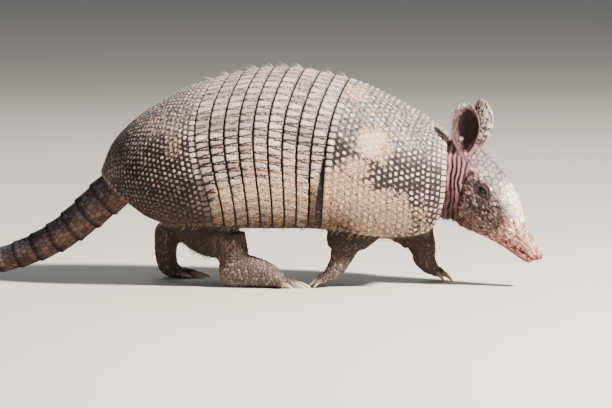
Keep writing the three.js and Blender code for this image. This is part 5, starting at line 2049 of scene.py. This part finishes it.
def tail_finish():
    """Slate horn above, browner below, with painted shadow at each ring's end."""
    armour = Finish("tail_horn", {"Specular IOR Level": 0.25})
    groove, lot, lip, top = armour.marks("groove", "lot", "lip", "top")
    grain, cloud = armour.speckle(0.8, 4), armour.speckle(6, 3)
    above = armour.mix(lot, "2c262c", "5e545c")
    below = armour.mix(lot, "3f2a25", "785b50")
    colour = armour.over(
        armour.mix(top.within(0.35, 0.8), below, above),
        (cloud.within(0.45, 0.7) * 0.5, "3a2b2d"),
        (grain.within(0.52, 0.75) * 0.35, "a08d88"),
        # painted shadow at each ring's end
        (lip * 0.8, "1a1216"),
        (groove * 0.92, "0a0505"))
    armour.emboss(grain, 0.3)
    return armour.paint(colour, 0.6 + grain * 0.15)


def claw_finish():
    horn = Finish("claw_horn", {"Specular IOR Level": 0.5})
    worn = horn.mark("worn")
    streak = horn.speckle(0.9, 4, 0.6)
    colour = horn.mix(worn.within(0.1, 0.9), "8f7a66", "d8c8ae")
    colour = horn.mix(streak.within(0.5, 0.75) * 0.6, colour, "6b5646")
    horn.emboss(streak, 0.15)
    return horn.paint(colour, 0.4 + streak * 0.2)


def eye_finish():
    eye = Finish("wet_eye", {"Specular IOR Level": 0.4})
    return eye.paint("07060a", 0.12)


def hair_finish():
    """Fine hair in its own tones, paler towards the tips."""
    hair = Finish("body_hair", {"Specular IOR Level": 0.35})
    tone, rise, lot = hair.mark("tone", "Color"), hair.mark("rise"), hair.mark("lot")
    return hair.paint(hair.shade(tone, 0.7 + lot * 0.3 + rise * 0.35), 0.55 + rise * 0.1)


def pebble_finish():
    """Small horn scales in the skin's tones, worn pale on top."""
    scale = Finish("skin_scales", {"Specular IOR Level": 0.25})
    tone, rise, lot = scale.mark("tone", "Color"), scale.mark("rise"), scale.mark("lot")
    grain = scale.speckle(0.6, 3)
    shade = 0.55 + rise * 0.45 + lot * 0.35 + grain * 0.2
    scale.emboss(grain, 0.15)
    return scale.paint(scale.shade(tone, shade), 0.6 + grain * 0.2)


# --- stage, light and camera
FLOOR_REACH = 2e4
CAMERA_AWAY = 3500
CAMERA_AZIMUTH = 5 * DEG
CAMERA_RISE = 5 * DEG
LENS = 236.7
AIM = (13.9, 68.7)  # where the view's centre lies, right of and above the shell's x = 0


def set_camera():
    sine, cosine = math.sin(CAMERA_AZIMUTH), math.cos(CAMERA_AZIMUTH)
    flat, rise = math.cos(CAMERA_RISE), math.sin(CAMERA_RISE)
    right = np.array([cosine, sine, 0])
    back = np.array([sine * flat, -cosine * flat, rise])
    aim = np.array([FORWARD, 0, 0]) + AIM[0] * right + AIM[1] * np.cross(back, right)
    camera = bpy.data.objects.new("camera", bpy.data.cameras.new("camera"))
    camera.data.lens = LENS
    camera.data.clip_end = 100
    camera.location = (aim + CAMERA_AWAY * back) * MM
    camera.rotation_euler = (math.pi / 2 - CAMERA_RISE, 0, CAMERA_AZIMUTH)
    bpy.context.scene.collection.objects.link(camera)
    bpy.context.scene.camera = camera


def softbox(name, towards, away, size, watts, colour):
    """A square light, away along a direction from the animal's middle, facing it."""
    light = bpy.data.lights.new(name, "AREA")
    light.size = size
    light.energy = watts
    light.color = colour
    lamp = bpy.data.objects.new(name, light)
    direction = unit(np.array(towards, float))
    lamp.location = direction * away + np.array([0.12, 0, 0.09])
    pitch = math.acos(direction[2])
    turn = math.atan2(direction[1], direction[0]) + math.pi / 2
    lamp.rotation_euler = (pitch, 0, turn)
    bpy.context.scene.collection.objects.link(lamp)


def set_stage():
    corners = np.array([[-1, -1, 0], [1, -1, 0], [1, 1, 0], [-1, 1, 0]]) * FLOOR_REACH
    floor = new_mesh("floor", corners, [[0, 1, 2, 3]])
    ground = Finish("studio_floor")
    floor.data.materials.append(ground.paint("d9d5cd", 0.9))
    world = bpy.data.worlds.new("studio")
    world.use_nodes = True
    sky = world.node_tree.nodes["Background"]
    sky.inputs["Color"].default_value = (0.86, 0.92, 1.0, 1)
    sky.inputs["Strength"].default_value = 0.18
    bpy.context.scene.world = world
    softbox("key", (0.7, -0.32, 0.62), 2.4, 0.28, 260, (1.0, 0.93, 0.85))
    softbox("fill", (0.15, -0.9, 0.4), 2.6, 1.6, 7, (0.95, 0.97, 1.0))
    softbox("back", (-0.2, 0.9, 0.7), 2.4, 1.2, 12, (0.95, 0.97, 1.0))


set_camera()
set_stage()
shell_horn = shell_finish()
pelvic_shield(shell_horn)
scapular_shield(shell_horn)
for band_number in range(1, BANDS + 1):
    band(band_number, shell_horn)
head_shield(head_scale_finish())
tail(tail_finish())
rooted = skin(skin_finish())
wet_eye = eye_finish()
for eye_side in EYE_SIDES:
    eyeball(eye_side, wet_eye)
claw_horn = claw_finish()
for leg_name, leg_shape in LEGS.items():
    for toe, (_, toe_tip, claw_point) in enumerate(digits(leg_shape)):
        claw(f"{leg_name}_claw_{toe + 1}", toe_tip, claw_point, claw_horn)

strand = strand_shape(0.02, 0.4)
scale_shape = pebble_shape()
hair_coat, scale_coat = hair_finish(), pebble_finish()
grow("shell_bristles", strand, shell_bristles() + [tail_bristles()], hair_coat, "skin", 1)
grow("skin_hairs", strand, skin_hairs(rooted), hair_coat, "skin", 2)
grow("leg_and_face_scales", scale_shape, [pebbles(rooted)], scale_coat, "small_scales", 3)
for pattern in (strand, scale_shape):
    bpy.data.objects.remove(pattern)
